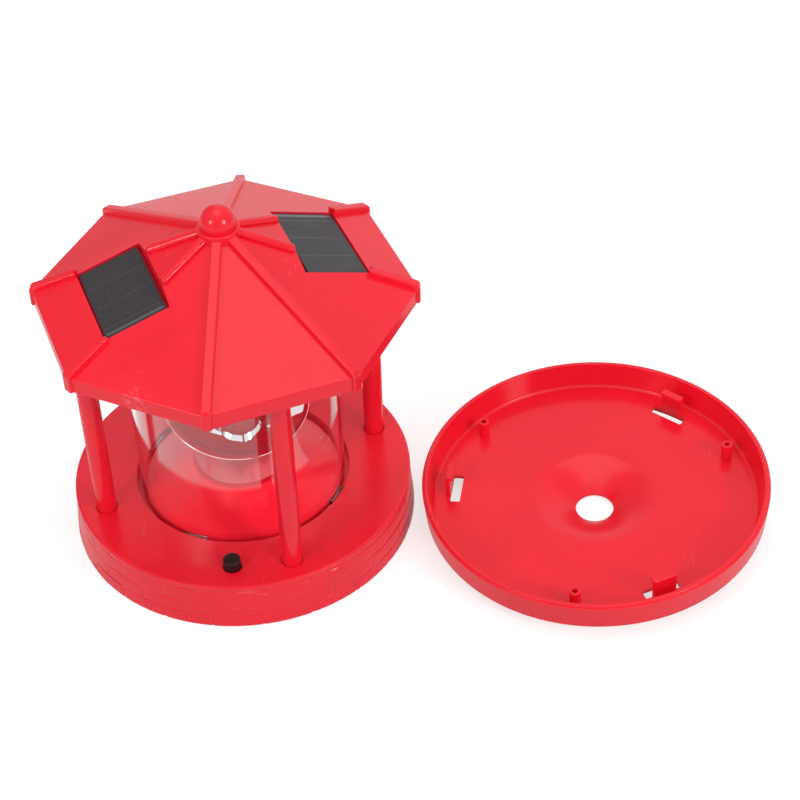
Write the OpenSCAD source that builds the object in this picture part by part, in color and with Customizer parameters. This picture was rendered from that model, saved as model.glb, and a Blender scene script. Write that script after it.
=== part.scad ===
// Garden lighthouse ornament: a solar lantern head with a turning beacon, and
// the round dish it mounts on, which lies beside it.
// Frame: mm, +Z up, origin in the middle of the lantern's underside, -Y to the front.

/* [Base] */
// radius of the base at its bottom edge
base_radius = 75; // [60:0.5:90]
// how far the deck's rounded edge stands in from the bottom edge
deck_inset = 2.6; // [1:0.1:6]
// height of the deck above the ground
base_height = 21.2; // [18:0.1:30]
// thickness of the base wall
base_wall = 2.4; // [1.8:0.1:4]
// thickness of the deck
deck_thickness = 2.4; // [1.8:0.1:4]
// height of the rounded edge between wall and deck
edge_height = 1.6; // [0.8:0.1:3]
// gap between the clear tube and the edge of the round opening in the deck
opening_gap = 2; // [1.7:0.1:6]
// height of the ledge the clear tube stands on
ledge_height = 17; // [14:0.1:24]
// thickness of the ledge
ledge_thickness = 2; // [1:0.1:4]
// how far the ledge reaches in from the outside of the tube
ledge_reach = 6.6; // [5:0.1:12]

/* [Brickwork] */
// heights of the joints between the brick courses
course_heights = [5.6, 11.9, 18.5];
// number of bricks round each course
brick_count = 22; // [10:1:40]
// width of a joint between bricks
joint_width = 0.7; // [0.3:0.1:1.5]
// depth of a joint between bricks
joint_depth = 0.45; // [0.2:0.05:1]

/* [Posts] */
// number of posts
post_count = 4; // [3:1:8]
// radius of a post
post_radius = 4.35; // [3:0.05:7]
// gap between a post's socket and the walls of base and roof
post_inset = 2.39; // [0.5:0.01:10]
// angle of the first post
post_turn = 21.8; // [0:0.1:90]
// height of the foot of a post
post_foot = 9; // [8:0.1:14]
// radial clearance round the posts
post_clearance = 0.08; // [0.02:0.01:0.3]
// radius of the shallow recess round a post in the deck
post_recess_radius = 4.85; // [4:0.05:8]
// depth of that recess
post_recess_depth = 0.9; // [0.3:0.1:2]
// wall of the sockets that hold the posts
socket_wall = 1.8; // [1:0.1:3]

/* [Roof] */
// radius to the corners of the eight-sided roof
roof_radius = 78.6; // [60:0.1:95]
// angle of the roof's first corner
roof_turn = -2; // [-22:0.5:22]
// height of the lower edge of the fascia
eave_height = 112.7; // [80:0.1:160]
// height of the fascia band
fascia_height = 6.6; // [3:0.1:15]
// rise of the roof above the fascia
roof_rise = 30.7; // [15:0.1:60]
// thickness of the roof shell
roof_wall = 2; // [1.2:0.1:4]
// width of a rib
rib_width = 4.2; // [2:0.1:8]
// height of a rib above the corner it covers
rib_height = 2.1; // [0.5:0.1:5]
// how far a rib reaches out past the corner
rib_reach = 0.6; // [0:0.1:4]
// radius of the ball on top
ball_radius = 7.5; // [4:0.1:14]
// radius of the collar under the ball
collar_radius = 8.6; // [6:0.1:14]
// height of the collar above the peak of the eight faces
collar_rise = 0.4; // [0:0.1:3]

/* [Solar panels] */
// width of a panel along the eaves
panel_width = 43.6; // [25:0.1:60]
// length of a panel up the slope
panel_length = 26; // [15:0.1:40]
// thickness of a panel
panel_thickness = 1.8; // [1:0.1:4]
// thickness of the adhesive pad under a panel
pad_thickness = 0.6; // [0.3:0.1:1.5]
// slope of a panel
panel_slope = 16.8; // [5:0.1:35]
// distance from the middle of a panel to the roof's corner circle
panel_inset = 37.1; // [20:0.1:50]
// height of the middle of a panel's face above the fascia's lower edge
panel_rise = 17.7; // [8:0.1:40]
// gap round a panel in its pocket
panel_gap = 0.45; // [0.1:0.05:1.5]

/* [Clear tube] */
// outer radius of the tube
tube_radius = 44.6; // [30:0.1:54]
// wall of the tube
tube_wall = 1.6; // [1:0.1:4]
// how far the tube ends below the fascia's lower edge
tube_drop = 1.3; // [0.5:0.1:10]
// length of a locating lug round the tube
lug_length = 11; // [4:0.5:20]
// how far a lug stands out
lug_reach = 1.5; // [0.5:0.1:3]
// angle of the first lug
lug_turn = 66; // [0:1:90]

/* [Beacon] */
// radius of the turning drum
drum_radius = 20; // [12:0.1:28]
// height of the drum's lower face
drum_bottom = 29.8; // [24:0.1:40]
// height of the drum itself
drum_height = 16; // [8:0.1:30]
// radius of the mirror bowl's rim
bowl_radius = 30; // [20:0.1:40]
// depth of the mirror bowl
bowl_depth = 14.5; // [8:0.1:25]
// height of the middle of the bowl's rim
bowl_height = 63.7; // [50:0.1:90]
// tilt of the bowl
bowl_tilt = 20.8; // [0:0.1:40]
// direction the bowl faces
bowl_turn = -73; // [-180:1:180]
// wall of the bowl
bowl_wall = 1.2; // [0.8:0.1:3]
// radius of the spindle
spindle_radius = 2.5; // [1.5:0.1:4]
// running clearance of the turning parts
running_clearance = 0.1; // [0.05:0.01:0.3]

/* [Drive] */
// size of the gear teeth (pitch diameter per tooth)
tooth_module = 0.8; // [0.5:0.05:1.5]
// teeth of the gear on the spindle
wheel_teeth = 42; // [24:1:60]
// teeth of the motor's pinion
pinion_teeth = 10; // [8:1:20]
// extra centre distance so that the teeth run free
gear_backlash = 0.25; // [0.1:0.05:0.6]
// thickness of the gears
gear_thickness = 2.2; // [1:0.1:5]
// height of the gears' lower face
gear_bottom = 18.8; // [15:0.1:26]
// radius of the motor
motor_radius = 10; // [6:0.5:14]
// height of the motor's can
motor_length = 11; // [6:0.5:16]

/* [Switch] */
// how far the push button stands out from the middle of the deck's ring
switch_offset = 0.7; // [-1:0.1:1]
// angle of the push button
switch_turn = 268.4; // [180:0.1:360]
// radius of the push button
button_radius = 3.8; // [2:0.1:6]
// height of the button above the deck
button_rise = 4.6; // [2:0.1:8]
// travel of the push button
button_travel = 1.6; // [0.5:0.1:4]
// side of the switch's square body
switch_size = 9.6; // [8:0.1:14]
// height of the switch's body
switch_depth = 7.4; // [5:0.1:12]

/* [Battery] */
// radius of the round cell
cell_radius = 7.25; // [5:0.05:10]
// length of the round cell
cell_length = 50.5; // [40:0.5:70]
// distance of the cell behind the axis
cell_offset = 18; // [16:0.5:24]

/* [Bottom cover] */
// gap round the bottom cover
cover_gap = 0.3; // [0.1:0.05:1]
// thickness of the cover
cover_thickness = 2.4; // [1.6:0.1:4]
// distance from the cover's screws to the base's bottom edge
cover_screw_inset = 9; // [7:0.1:16]
// angle of the first cover screw
cover_screw_turn = 65; // [0:1:90]
// radius of the screws' shanks
screw_radius = 1.4; // [0.8:0.05:2.5]
// radius of the screws' heads
screw_head_radius = 2.7; // [1.5:0.1:4]
// height of the screws' heads
screw_head_height = 1.3; // [0.8:0.1:3]

/* [Mounting dish] */
// how far the dish's rim reaches past the radius of the base
dish_reach = 0.3; // [-2:0.1:8]
// how far the lower edge of the rim stands in
dish_taper = 0.9; // [0:0.1:3]
// height of the rim above the lower edge
dish_height = 12.3; // [8:0.1:25]
// thickness of the rim
dish_rim_width = 2.3; // [1.5:0.1:5]
// width of the shoulder outside the raised lip
dish_step_width = 0.8; // [0.3:0.1:2]
// depth of that step
dish_step = 0.9; // [0.3:0.1:2]
// how far the flat floor's edge stands in from the rim's outside
dish_floor_inset = 4.7; // [3:0.1:10]
// height of the floor's upper face
dish_floor = 0.6; // [0:0.1:3]
// thickness of the floor
dish_floor_thickness = 1.8; // [1.2:0.1:4]
// radius of the hole in the middle
hub_hole_radius = 8.27; // [4:0.05:20]
// width of the flat ring round the hole underneath
hub_ring_width = 1.6; // [0.8:0.1:4]
// radius where the floor begins to fall towards the hole
funnel_radius = 28; // [15:0.5:45]
// depth of the funnel below the lower edge of the rim
funnel_depth = 8.4; // [2:0.1:20]
// how far the skirt that drops into a tower stands in from the rim
skirt_inset = 7.3; // [4:0.1:30]
// depth of the skirt below the lower edge of the rim
skirt_depth = 5.04; // [2:0.01:15]
// wall of the skirt
skirt_wall = 2; // [1.2:0.1:4]
// number of hooks, and of screw posts
hook_count = 3; // [2:1:6]
// angle of the first hook
hook_turn = 50; // [0:1:120]
// how far the hooks stand in from the rim
hook_inset = 10.3; // [6:0.1:25]
// width of a hook
hook_width = 10.4; // [6:0.1:25]
// how far the middle of a hook lies round from its angle
hook_offset = 1; // [-5:0.1:5]
// thickness of a hook's wall
hook_wall = 2; // [1:0.1:4]
// length of a hook's inward flange
hook_flange = 3.4; // [3:0.1:9]
// height of a hook above the lower edge of the rim
hook_height = 11.5; // [5:0.1:12]
// width of the slot under a hook
slot_width = 4.4; // [3:0.1:8]
// length of the slot under a hook
slot_length = 16; // [8:0.1:30]
// how far the middle of a slot lies round from the hook's angle
slot_offset = 1.4; // [-5:0.1:5]
// how far the screw posts stand in from the rim
boss_inset = 12.3; // [8:0.1:25]
// angle of the first screw post
boss_turn = 17; // [0:1:120]
// radius of a screw post
boss_radius = 2.4; // [1.5:0.1:5]
// radius of the hole in a screw post
boss_hole_radius = 1.25; // [0.6:0.05:2.5]
// height of a screw post above the lower edge of the rim
boss_height = 8.4; // [4:0.1:12]
// height of the short wall of the hole
hub_wall = 1; // [0.5:0.1:4]
// place of the dish beside the lantern, to the right and to the back
dish_place = [153.87, -12.27];
// direction towards which the dish leans down
dish_lean = 210.7; // [0:0.1:360]

/* [Hidden] */
$fn = 96;
side_count = 8;
side_angle = 360 / side_count;
face_turn = roof_turn + side_angle / 2;
quarter = 90;
half_turn = 180;
full_turn = 360;
cut = 0.01;
over = 1;
fit = 0.05;
clear = 0.3;

deck_radius = base_radius - deck_inset;
wall_top_radius = deck_radius + 1;
wall_top = base_height - edge_height;
deck_under = base_height - deck_thickness;
opening_radius = tube_radius + opening_gap;
ledge_inner_radius = tube_radius - ledge_reach;
well_wall = 2.2;
ledge_under = ledge_height - ledge_thickness;
inner_low = base_radius - base_wall - 1;
inner_high = wall_top_radius - base_wall;
cover_radius = inner_low - cover_gap;
cover_top = cover_thickness;
cover_screw_circle = base_radius - cover_screw_inset;
switch_distance = (opening_radius + well_wall + inner_high) / 2 + switch_offset;

socket_radius = post_radius + post_clearance + socket_wall;
post_seat_thickness = 2;
fascia_top = eave_height + fascia_height;
roof_peak = fascia_top + roof_rise;
corner_slope = atan(roof_rise / roof_radius);
inner_radius = roof_radius - roof_wall / cos(side_angle / 2);
inner_peak = roof_peak - roof_wall / cos(corner_slope);
collar_top = roof_peak + collar_rise;
ball_height = collar_top + 1.8;
stem_radius = 3;

roof_inside = inner_radius * cos(side_angle / 2);
post_circle = min(roof_inside, inner_high) - socket_radius - post_inset;
tube_top = eave_height - tube_drop;
panel_distance = roof_radius - panel_inset;
panel_height = eave_height + panel_rise;

ceiling_thickness = 2;
ceiling_bottom = eave_height + 0.6;
ceiling_top = ceiling_bottom + ceiling_thickness;
ceiling_radius = inner_radius - fit;
ring_depth = 5;
post_top = ceiling_bottom;

pocket_width = panel_width + 2 * panel_gap;
pocket_length = panel_length + 2 * panel_gap;
pocket_depth = panel_thickness + pad_thickness;
pocket_cut = pocket_depth + pocket_length / 2;
tray_wall = 1.6;

dome_outer = tube_radius - tube_wall - clear;
dome_edge = ledge_height + 3;
dome_top = drum_bottom - 1.3;
dome_flat = drum_radius + 1.5;
dome_thickness = 1.8;
bearing_radius = 5;
bearing_bottom = gear_bottom + gear_thickness + clear;

drum_wall = 1.4;
drum_top = drum_bottom + drum_height;
spindle_bottom = gear_bottom - 0.4;
neck_radius = 9;
bowl_round = (bowl_radius * bowl_radius + bowl_depth * bowl_depth) / (2 * bowl_depth);

wheel_pitch = tooth_module * wheel_teeth / 2;
pinion_pitch = tooth_module * pinion_teeth / 2;
gear_distance = wheel_pitch + pinion_pitch + gear_backlash;
shaft_radius = 1;
motor_bottom = cover_top + 1;
motor_top = motor_bottom + motor_length;
boss_collar_radius = 3;
boss_collar_height = 1.2;

cell_height = cover_top + 0.4 + cell_radius;
holder_wall = 1.4;
contact_gap = 1.6;
door_length = cell_length + 8;
door_width = 2 * cell_radius + 5;
door_thickness = 1.2;
door_step = 2;

led_radius = 2.5;
led_base_radius = 2.9;
led_drop = 15.7;
led_bottom = eave_height - led_drop;
holder_radius = 9;
holder_drop = 10.7;
holder_bottom = eave_height - holder_drop;

board_length = 20;
board_width = 13;
board_hole_inset = 2.4;
board_post_radius = 1.8;
board_thickness = 1.6;
board_height = 6;
switch_top = deck_under;
switch_bottom = switch_top - switch_depth;
button_foot = switch_bottom + 3;

dish_radius = base_radius + dish_reach;
dish_foot_radius = dish_radius - dish_taper;
dish_lip_radius = dish_radius - dish_rim_width;
dish_step_radius = dish_radius - dish_step_width;
dish_floor_radius = dish_radius - dish_floor_inset;
skirt_radius = dish_radius - skirt_inset;
hook_radius = dish_radius - hook_inset;
boss_circle = dish_radius - boss_inset;
hub_foot_radius = hub_hole_radius + hub_ring_width;
dish_tilt = atan((funnel_depth - skirt_depth) / (skirt_radius - hub_foot_radius));
dish_lift = skirt_depth * cos(dish_tilt) + skirt_radius * sin(dish_tilt);

cover_boss_radius = 4;
cover_screw_length = 9;
post_screw_length = 8;

red = [0.86, 0.10, 0.15];
black = [0.06, 0.06, 0.06];
silver = [0.78, 0.78, 0.80];
clear_colour = [0.85, 0.90, 0.92, 0.35];

// moves its children out to a radius at an angle
module at(angle, radius, height = 0) {
    rotate([0, 0, angle])
        translate([radius, 0, height])
            children();
}

// repeats its children round the axis
module round_axis(count, first, radius, height = 0) {
    for (i = [0 : count - 1])
        at(first + i * full_turn / count, radius, height)
            children();
}

// a washer-shaped ring
module ring(outer, inner, height) {
    difference() {
        cylinder(r = outer, h = height);
        translate([0, 0, -over])
            cylinder(r = inner, h = height + 2 * over);
    }
}

// an eight-sided prism whose corners follow the roof
module octagon(radius, height) {
    rotate([0, 0, roof_turn])
        cylinder(r = radius, h = height, $fn = side_count);
}

// a block centred on X and Y
module block(x, y, z) {
    translate([-x / 2, -y / 2, 0])
        cube([x, y, z]);
}

// a flat gear whose teeth are plain tapered bars
module gear(teeth, pitch, thickness, bore) {
    root = pitch - 1.15 * tooth_module;
    tip = pitch + 0.85 * tooth_module;
    root_half = 0.82 * tooth_module;
    tip_half = 0.36 * tooth_module;
    difference() {
        linear_extrude(thickness)
            union() {
                circle(r = root);
                for (i = [0 : teeth - 1])
                    rotate(i * full_turn / teeth)
                        polygon([
                            [root - 0.3, -root_half], [tip, -tip_half],
                            [tip, tip_half], [root - 0.3, root_half]
                        ]);
            }
        translate([0, 0, -over])
            cylinder(r = bore, h = thickness + 2 * over);
    }
}

// the joints between the bricks, cut into the base wall
module brick_joints() {
    wall_lean = (base_radius - wall_top_radius) / wall_top;
    for (level = course_heights)
        translate([0, 0, level - joint_width / 2])
            ring(base_radius + over, base_radius - wall_lean * level - joint_depth, joint_width);
    lows = [0, course_heights[0], course_heights[1]];
    for (course = [0 : 2]) {
        low = lows[course];
        high = course_heights[course];
        middle = (low + high) / 2;
        reach = base_radius - wall_lean * middle - joint_depth;
        round_axis(brick_count, (course % 2) * half_turn / brick_count, reach, low)
            translate([0, -joint_width / 2, 0])
                cube([joint_depth + over, joint_width, high - low]);
    }
}

// the round base with its deck, the seat of the tube and the sockets of the posts
module base_housing() {
    color(red)
    difference() {
        union() {
            rotate_extrude()
                polygon([
                    [inner_low, 0], [base_radius, 0], [wall_top_radius, wall_top],
                    [wall_top_radius - 0.15, base_height - 0.7], [deck_radius + 0.4, base_height - 0.2],
                    [deck_radius, base_height], [opening_radius, base_height],
                    [opening_radius, ledge_height], [ledge_inner_radius, ledge_height],
                    [ledge_inner_radius, ledge_under], [opening_radius + well_wall, ledge_under],
                    [opening_radius + well_wall, deck_under], [inner_high, deck_under]
                ]);
            round_axis(post_count, post_turn, post_circle, post_foot - post_seat_thickness)
                cylinder(r = socket_radius, h = deck_under - post_foot + post_seat_thickness + cut);
            round_axis(post_count, cover_screw_turn, cover_screw_circle, cover_top)
                cylinder(r = cover_boss_radius, h = deck_under - cover_top + cut);
        }
        brick_joints();
        round_axis(post_count, post_turn, post_circle, post_foot)
            cylinder(r = post_radius + post_clearance, h = base_height);
        round_axis(post_count, post_turn, post_circle, base_height - post_recess_depth)
            cylinder(r = post_recess_radius, h = base_height);
        round_axis(post_count, post_turn, post_circle, 0)
            cylinder(r = screw_radius + fit, h = base_height - over);
        round_axis(post_count, cover_screw_turn, cover_screw_circle, cover_top - over)
            cylinder(r = screw_radius + fit, h = cover_screw_length + over);
        at(switch_turn, switch_distance, deck_under - over)
            cylinder(r = button_radius + clear, h = deck_thickness + 2 * over);
    }
}

// the battery's bay in the cover, also the outline of its door
module door_outline(grow, height) {
    translate([0, cell_offset, 0])
        block(door_length + 2 * grow, door_width + 2 * grow, height);
}

// the disc that closes the base from below and carries the inner parts
module bottom_cover() {
    color(red)
    difference() {
        union() {
            cylinder(r = cover_radius, h = cover_thickness);
            translate([0, -gear_distance, cover_top - cut])
                ring(motor_radius + 1.6, motor_radius + fit, 4);
            translate([0, -gear_distance, cover_top - cut])
                cylinder(r = 6, h = motor_bottom - cover_top + cut);
            for (side = [-1, 1])
                translate([0, cell_offset + side * (cell_radius + holder_wall), cover_top - cut])
                    block(cell_length + 2 * contact_gap, holder_wall, cell_radius + 2);
            for (side = [-1, 1])
                translate([side * (cell_length / 2 + contact_gap + holder_wall / 2), cell_offset, cover_top - cut])
                    block(holder_wall, 2 * cell_radius + 2 * holder_wall, cell_radius + 4);
            translate([0, 0, cover_top - cut])
                cylinder(r = spindle_radius + 1, h = spindle_bottom - running_clearance - cover_top + cut);
            for (side = [-1, 1])
                at(switch_turn, switch_distance)
                    translate([0, side * (board_length / 2 - board_hole_inset), cover_top - cut])
                        cylinder(r = board_post_radius, h = board_height - cover_top + cut);
        }
        translate([0, 0, -over])
            door_outline(-door_step, cover_thickness + 2 * over);
        translate([0, 0, -over])
            door_outline(fit, door_thickness + over);
        round_axis(post_count, cover_screw_turn, cover_screw_circle, -over)
            cylinder(r = screw_radius + fit, h = cover_thickness + 2 * over);
        round_axis(post_count, cover_screw_turn, cover_screw_circle, -over)
            cylinder(r = screw_head_radius + fit, h = screw_head_height + over);
        round_axis(hook_count, boss_turn, boss_circle, -over)
            cylinder(r = boss_hole_radius, h = cover_thickness + 2 * over);
    }
}

// a round-headed screw, head down
module screw(length) {
    cylinder(r = screw_head_radius, h = screw_head_height);
    translate([0, 0, screw_head_height - cut])
        cylinder(r = screw_radius, h = length);
}

module cover_screws() {
    color(silver)
    round_axis(post_count, cover_screw_turn, cover_screw_circle)
        difference() {
            screw(cover_screw_length);
            translate([0, 0, -over])
                block(2.6, 0.6, over + 0.5);
            translate([0, 0, -over])
                block(0.6, 2.6, over + 0.5);
        }
}

module battery_door() {
    grip_inset = 8;
    grip_pitch = 1.6;
    grip_width = 0.7;
    color(red)
    difference() {
        door_outline(0, door_thickness);
        for (i = [-2 : 2])
            translate([door_length / 2 - grip_inset + i * grip_pitch, cell_offset, -over])
                block(grip_width, door_width / 2, over + 0.4);
    }
}

module battery() {
    nub_radius = 2.6;
    nub_length = 1.2;
    color([0.25, 0.45, 0.30])
    translate([-cell_length / 2, cell_offset, cell_height])
        rotate([0, quarter, 0])
            union() {
                cylinder(r = cell_radius, h = cell_length - nub_length);
                cylinder(r = nub_radius, h = cell_length);
            }
}

// the two metal plates that touch the ends of the cell
module battery_contacts() {
    plate = 0.4;
    color(silver)
    for (side = [-1, 1])
        translate([side * (cell_length / 2 + contact_gap - plate / 2), cell_offset, cover_top])
            union() {
                block(plate, 2 * cell_radius - 2, cell_radius + 3);
                translate([0, 0, cell_height - cover_top])
                    rotate([0, -side * quarter, 0])
                        cylinder(r1 = 3.6, r2 = 2, h = contact_gap - plate / 2);
            }
}

module circuit_board() {
    color([0.10, 0.35, 0.15])
    at(switch_turn, switch_distance, board_height)
        difference() {
            block(board_width, board_length, board_thickness);
            for (side = [-1, 1])
                translate([0, side * (board_length / 2 - board_hole_inset), -over])
                    cylinder(r = 0.9, h = board_thickness + 2 * over);
        }
}

// the charging parts soldered on the board
module board_parts() {
    top = board_height + board_thickness;
    color(black)
    at(switch_turn, switch_distance, top)
        union() {
            translate([-3.6, -4.5, 0])
                block(3.2, 3.2, 1.4);
            translate([-3.4, 5.2, 0])
                cylinder(r = 2, h = 3);
            translate([3.6, 6, 0])
                block(2.2, 4, 1.2);
            translate([3.6, -6.4, 0])
                block(2.2, 3, 1.2);
        }
}

// the fixed half of the push switch, under the deck
module switch_body() {
    color(black)
    at(switch_turn, switch_distance)
        difference() {
            union() {
                translate([0, 0, switch_bottom])
                    block(switch_size, switch_size, switch_depth);
                for (side = [-1, 1])
                    translate([side * 2.5, 0, board_height + board_thickness])
                        block(0.8, 2, switch_bottom - board_height - board_thickness + cut);
            }
            translate([0, 0, button_foot - button_travel - clear])
                cylinder(r = button_radius + running_clearance, h = base_height);
        }
}

// the button that is pressed down to switch the light on and off
module switch_button() {
    edge = 1.1;
    top = base_height + button_rise;
    color(black)
    at(switch_turn, switch_distance)
        difference() {
            rotate_extrude()
                polygon([
                    [0, button_foot], [button_radius, button_foot], [button_radius, top - edge],
                    [button_radius - 0.3, top - edge / 2], [button_radius - edge, top],
                    [0, top]
                ]);
            translate([0, 0, base_height + button_rise / 2])
                ring(button_radius + over, button_radius - 0.25, 0.35);
        }
}

// the domed plate inside the tube, which carries the beacon's bearing
module lamp_floor() {
    color(red)
    rotate_extrude()
        polygon([
            [spindle_radius + running_clearance, dome_top], [dome_flat, dome_top],
            [dome_outer - 2, dome_edge + 0.6], [dome_outer, dome_edge], [dome_outer, ledge_height],
            [ledge_inner_radius + 0.5, ledge_height],
            [ledge_inner_radius + 0.5, dome_edge - dome_thickness + 0.4],
            [dome_flat - 1, dome_top - dome_thickness], [bearing_radius, dome_top - dome_thickness],
            [bearing_radius, bearing_bottom], [spindle_radius + running_clearance, bearing_bottom]
        ]);
}

module motor() {
    color(silver)
    translate([0, -gear_distance, motor_bottom])
        difference() {
            union() {
                cylinder(r = motor_radius, h = motor_length);
                cylinder(r = boss_collar_radius, h = motor_length + boss_collar_height);
            }
            translate([0, 0, 1])
                cylinder(r = shaft_radius + clear, h = motor_length + over + boss_collar_height);
        }
}

// the motor's shaft and its pinion, which turn together
module motor_pinion() {
    color(silver)
    translate([0, -gear_distance, 0])
        union() {
            translate([0, 0, motor_bottom + 2])
                cylinder(r = shaft_radius, h = gear_bottom + gear_thickness - motor_bottom - 2);
            translate([0, 0, gear_bottom])
                rotate([0, 0, quarter + half_turn / pinion_teeth])
                    gear(pinion_teeth, pinion_pitch, gear_thickness, shaft_radius - cut);
        }
}

// the gear pressed on the lower end of the spindle
module drive_gear() {
    color([0.92, 0.92, 0.88])
    translate([0, 0, gear_bottom])
        rotate([0, 0, -quarter])
            gear(wheel_teeth, wheel_pitch, gear_thickness, spindle_radius);
}

// the silver drum, in one piece with its spindle
module drum() {
    color(silver)
    union() {
        rotate_extrude()
            polygon([
                [0, drum_bottom], [drum_radius - 0.4, drum_bottom], [drum_radius, drum_bottom + 0.4],
                [drum_radius, drum_top - 0.4], [drum_radius - 0.4, drum_top],
                [neck_radius + fit, drum_top], [neck_radius + fit, drum_top - 3],
                [drum_radius - drum_wall, drum_top - 3], [drum_radius - drum_wall, drum_bottom + 1.6],
                [0, drum_bottom + 1.6]
            ]);
        translate([0, 0, spindle_bottom])
            cylinder(r = spindle_radius, h = drum_bottom - spindle_bottom + cut);
    }
}

// the mirror bowl, tilted on its neck
module reflector() {
    neck_bottom = drum_top - 3;
    step = 7;
    outer = bowl_round + bowl_wall;
    span = asin(bowl_radius / bowl_round);
    color([0.92, 0.92, 0.94])
    union() {
        difference() {
            union() {
                translate([0, 0, neck_bottom])
                    cylinder(r = neck_radius, h = bowl_height - bowl_depth - neck_bottom + 4);
                rotate([0, 0, bowl_turn])
                    translate([0, 0, bowl_height])
                        rotate([0, bowl_tilt, 0])
                            rotate_extrude()
                                polygon(concat(
                                    [[0, -bowl_depth - bowl_wall]],
                                    [for (i = [1 : step])
                                        [outer * sin(i * span / step),
                                         bowl_round - bowl_depth - outer * cos(i * span / step)]],
                                    [[bowl_radius + 1.6, 0.2], [bowl_radius + 1.6, 0.9], [0, 0.9]]
                                ));
            }
            rotate([0, 0, bowl_turn])
                translate([0, 0, bowl_height])
                    rotate([0, bowl_tilt, 0])
                        rotate_extrude()
                            polygon(concat(
                                [[0, bowl_depth], [0, -bowl_depth]],
                                [for (i = [1 : step])
                                    [bowl_round * sin(i * span / step),
                                     bowl_round - bowl_depth - bowl_round * cos(i * span / step)]],
                                [[bowl_radius, bowl_depth]]
                            ));
        }
    }
}

module led_holder() {
    color([0.95, 0.95, 0.95])
    difference() {
        translate([0, 0, holder_bottom])
            cylinder(r = holder_radius, h = ceiling_bottom - holder_bottom);
        translate([0, 0, holder_bottom - over])
            cylinder(r1 = holder_radius - 0.4, r2 = led_base_radius + 0.6, h = 5);
        translate([0, 0, holder_bottom])
            cylinder(r = led_base_radius + fit, h = ceiling_bottom - holder_bottom + over);
    }
}

// the round-nosed light-emitting diode, pointing down at the mirror bowl
module led() {
    color([1, 0.98, 0.85])
    union() {
        translate([0, 0, led_bottom + led_radius])
            sphere(r = led_radius);
        translate([0, 0, led_bottom + led_radius])
            cylinder(r = led_radius, h = ceiling_bottom - led_bottom - led_radius);
        translate([0, 0, ceiling_bottom - 4])
            cylinder(r = led_base_radius, h = 4);
    }
}

module clear_tube() {
    color(clear_colour)
    union() {
        translate([0, 0, ledge_height])
            ring(tube_radius, tube_radius - tube_wall, tube_top - ledge_height);
        round_axis(post_count, lug_turn, tube_radius - 0.6, ledge_height + 1)
            translate([0, -lug_length / 2, 0])
                cube([lug_reach + 0.6 - (lug_length * lug_length) / (8 * tube_radius), lug_length, 2.6]);
    }
}

module tube_seal() {
    color(black)
    translate([0, 0, tube_top])
        ring(tube_radius - 0.1, tube_radius - tube_wall + 0.1, ceiling_bottom - tube_top);
}

// one of the round posts between deck and roof
module post() {
    color(red)
    difference() {
        translate([0, 0, post_foot])
            cylinder(r = post_radius, h = post_top - post_foot);
        translate([0, 0, post_foot - over])
            cylinder(r = screw_radius + fit, h = post_screw_length + 2 * over);
        translate([0, 0, post_top - post_screw_length])
            cylinder(r = screw_radius + fit, h = post_screw_length + over);
    }
}

module post_right() at(post_turn, post_circle) post();
module post_back() at(post_turn + quarter, post_circle) post();
module post_left() at(post_turn + half_turn, post_circle) post();
module post_front() at(post_turn - quarter, post_circle) post();

// the screws that hold the feet of the posts
module post_screws() {
    color(silver)
    round_axis(post_count, post_turn, post_circle, post_foot - post_seat_thickness - screw_head_height)
        screw(post_seat_thickness + post_screw_length - over);
}

// the eight-sided plate under the roof, which holds tube, posts and lamp
module ceiling_plate() {
    groove_outer = tube_radius + clear / 2;
    groove_inner = tube_radius - tube_wall - clear / 2;
    color(red)
    difference() {
        union() {
            translate([0, 0, ceiling_bottom])
                octagon(ceiling_radius, ceiling_thickness);
            translate([0, 0, ceiling_bottom - ring_depth])
                ring(groove_outer + 1.6, groove_outer, ring_depth + cut);
            translate([0, 0, ceiling_bottom - ring_depth + 1.6])
                ring(groove_inner, groove_inner - 1.6, ring_depth - 1.6 + cut);
            round_axis(post_count, post_turn, post_circle, ceiling_bottom - ring_depth)
                ring(socket_radius, post_radius + post_clearance, ring_depth + cut);
        }
        round_axis(post_count, post_turn, post_circle, ceiling_bottom - over)
            cylinder(r = screw_radius + fit, h = ceiling_thickness + 2 * over);
        translate([0, 0, ceiling_bottom - over])
            cylinder(r = led_radius - 0.5, h = ceiling_thickness + 2 * over);
    }
}

// the screws that fasten the ceiling plate to the posts
module ceiling_screws() {
    color(silver)
    round_axis(post_count, post_turn, post_circle, ceiling_top + screw_head_height)
        rotate([half_turn, 0, 0])
            screw(ceiling_thickness + post_screw_length - over);
}

// places its children on the slope of a solar panel, +Z out of the panel's face
module on_panel(turn) {
    rotate([0, 0, turn])
        translate([panel_distance, 0, panel_height])
            rotate([0, panel_slope, 0])
                children();
}

// the profile of one rib, standing on a corner of the roof
module rib() {
    start = collar_radius - 0.6;
    rise = rib_height / cos(corner_slope);
    tip = roof_radius + rib_reach;
    fall = roof_rise / roof_radius;
    rotate([quarter, 0, 0])
        translate([0, 0, -rib_width / 2])
            linear_extrude(rib_width)
                polygon([
                    [start, roof_peak - fall * start - 0.6], [start, roof_peak + rise - fall * start],
                    [tip - 1.2, roof_peak + rise - fall * (tip - 1.2)],
                    [tip - 0.4, roof_peak + rise - fall * tip - 0.5],
                    [tip, roof_peak + rise - fall * tip - 1.6],
                    [tip, eave_height + 0.6], [tip - 0.6, eave_height],
                    [roof_radius - 1.6, eave_height], [roof_radius - 1.6, fascia_top - 0.6]
                ]);
}

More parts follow.
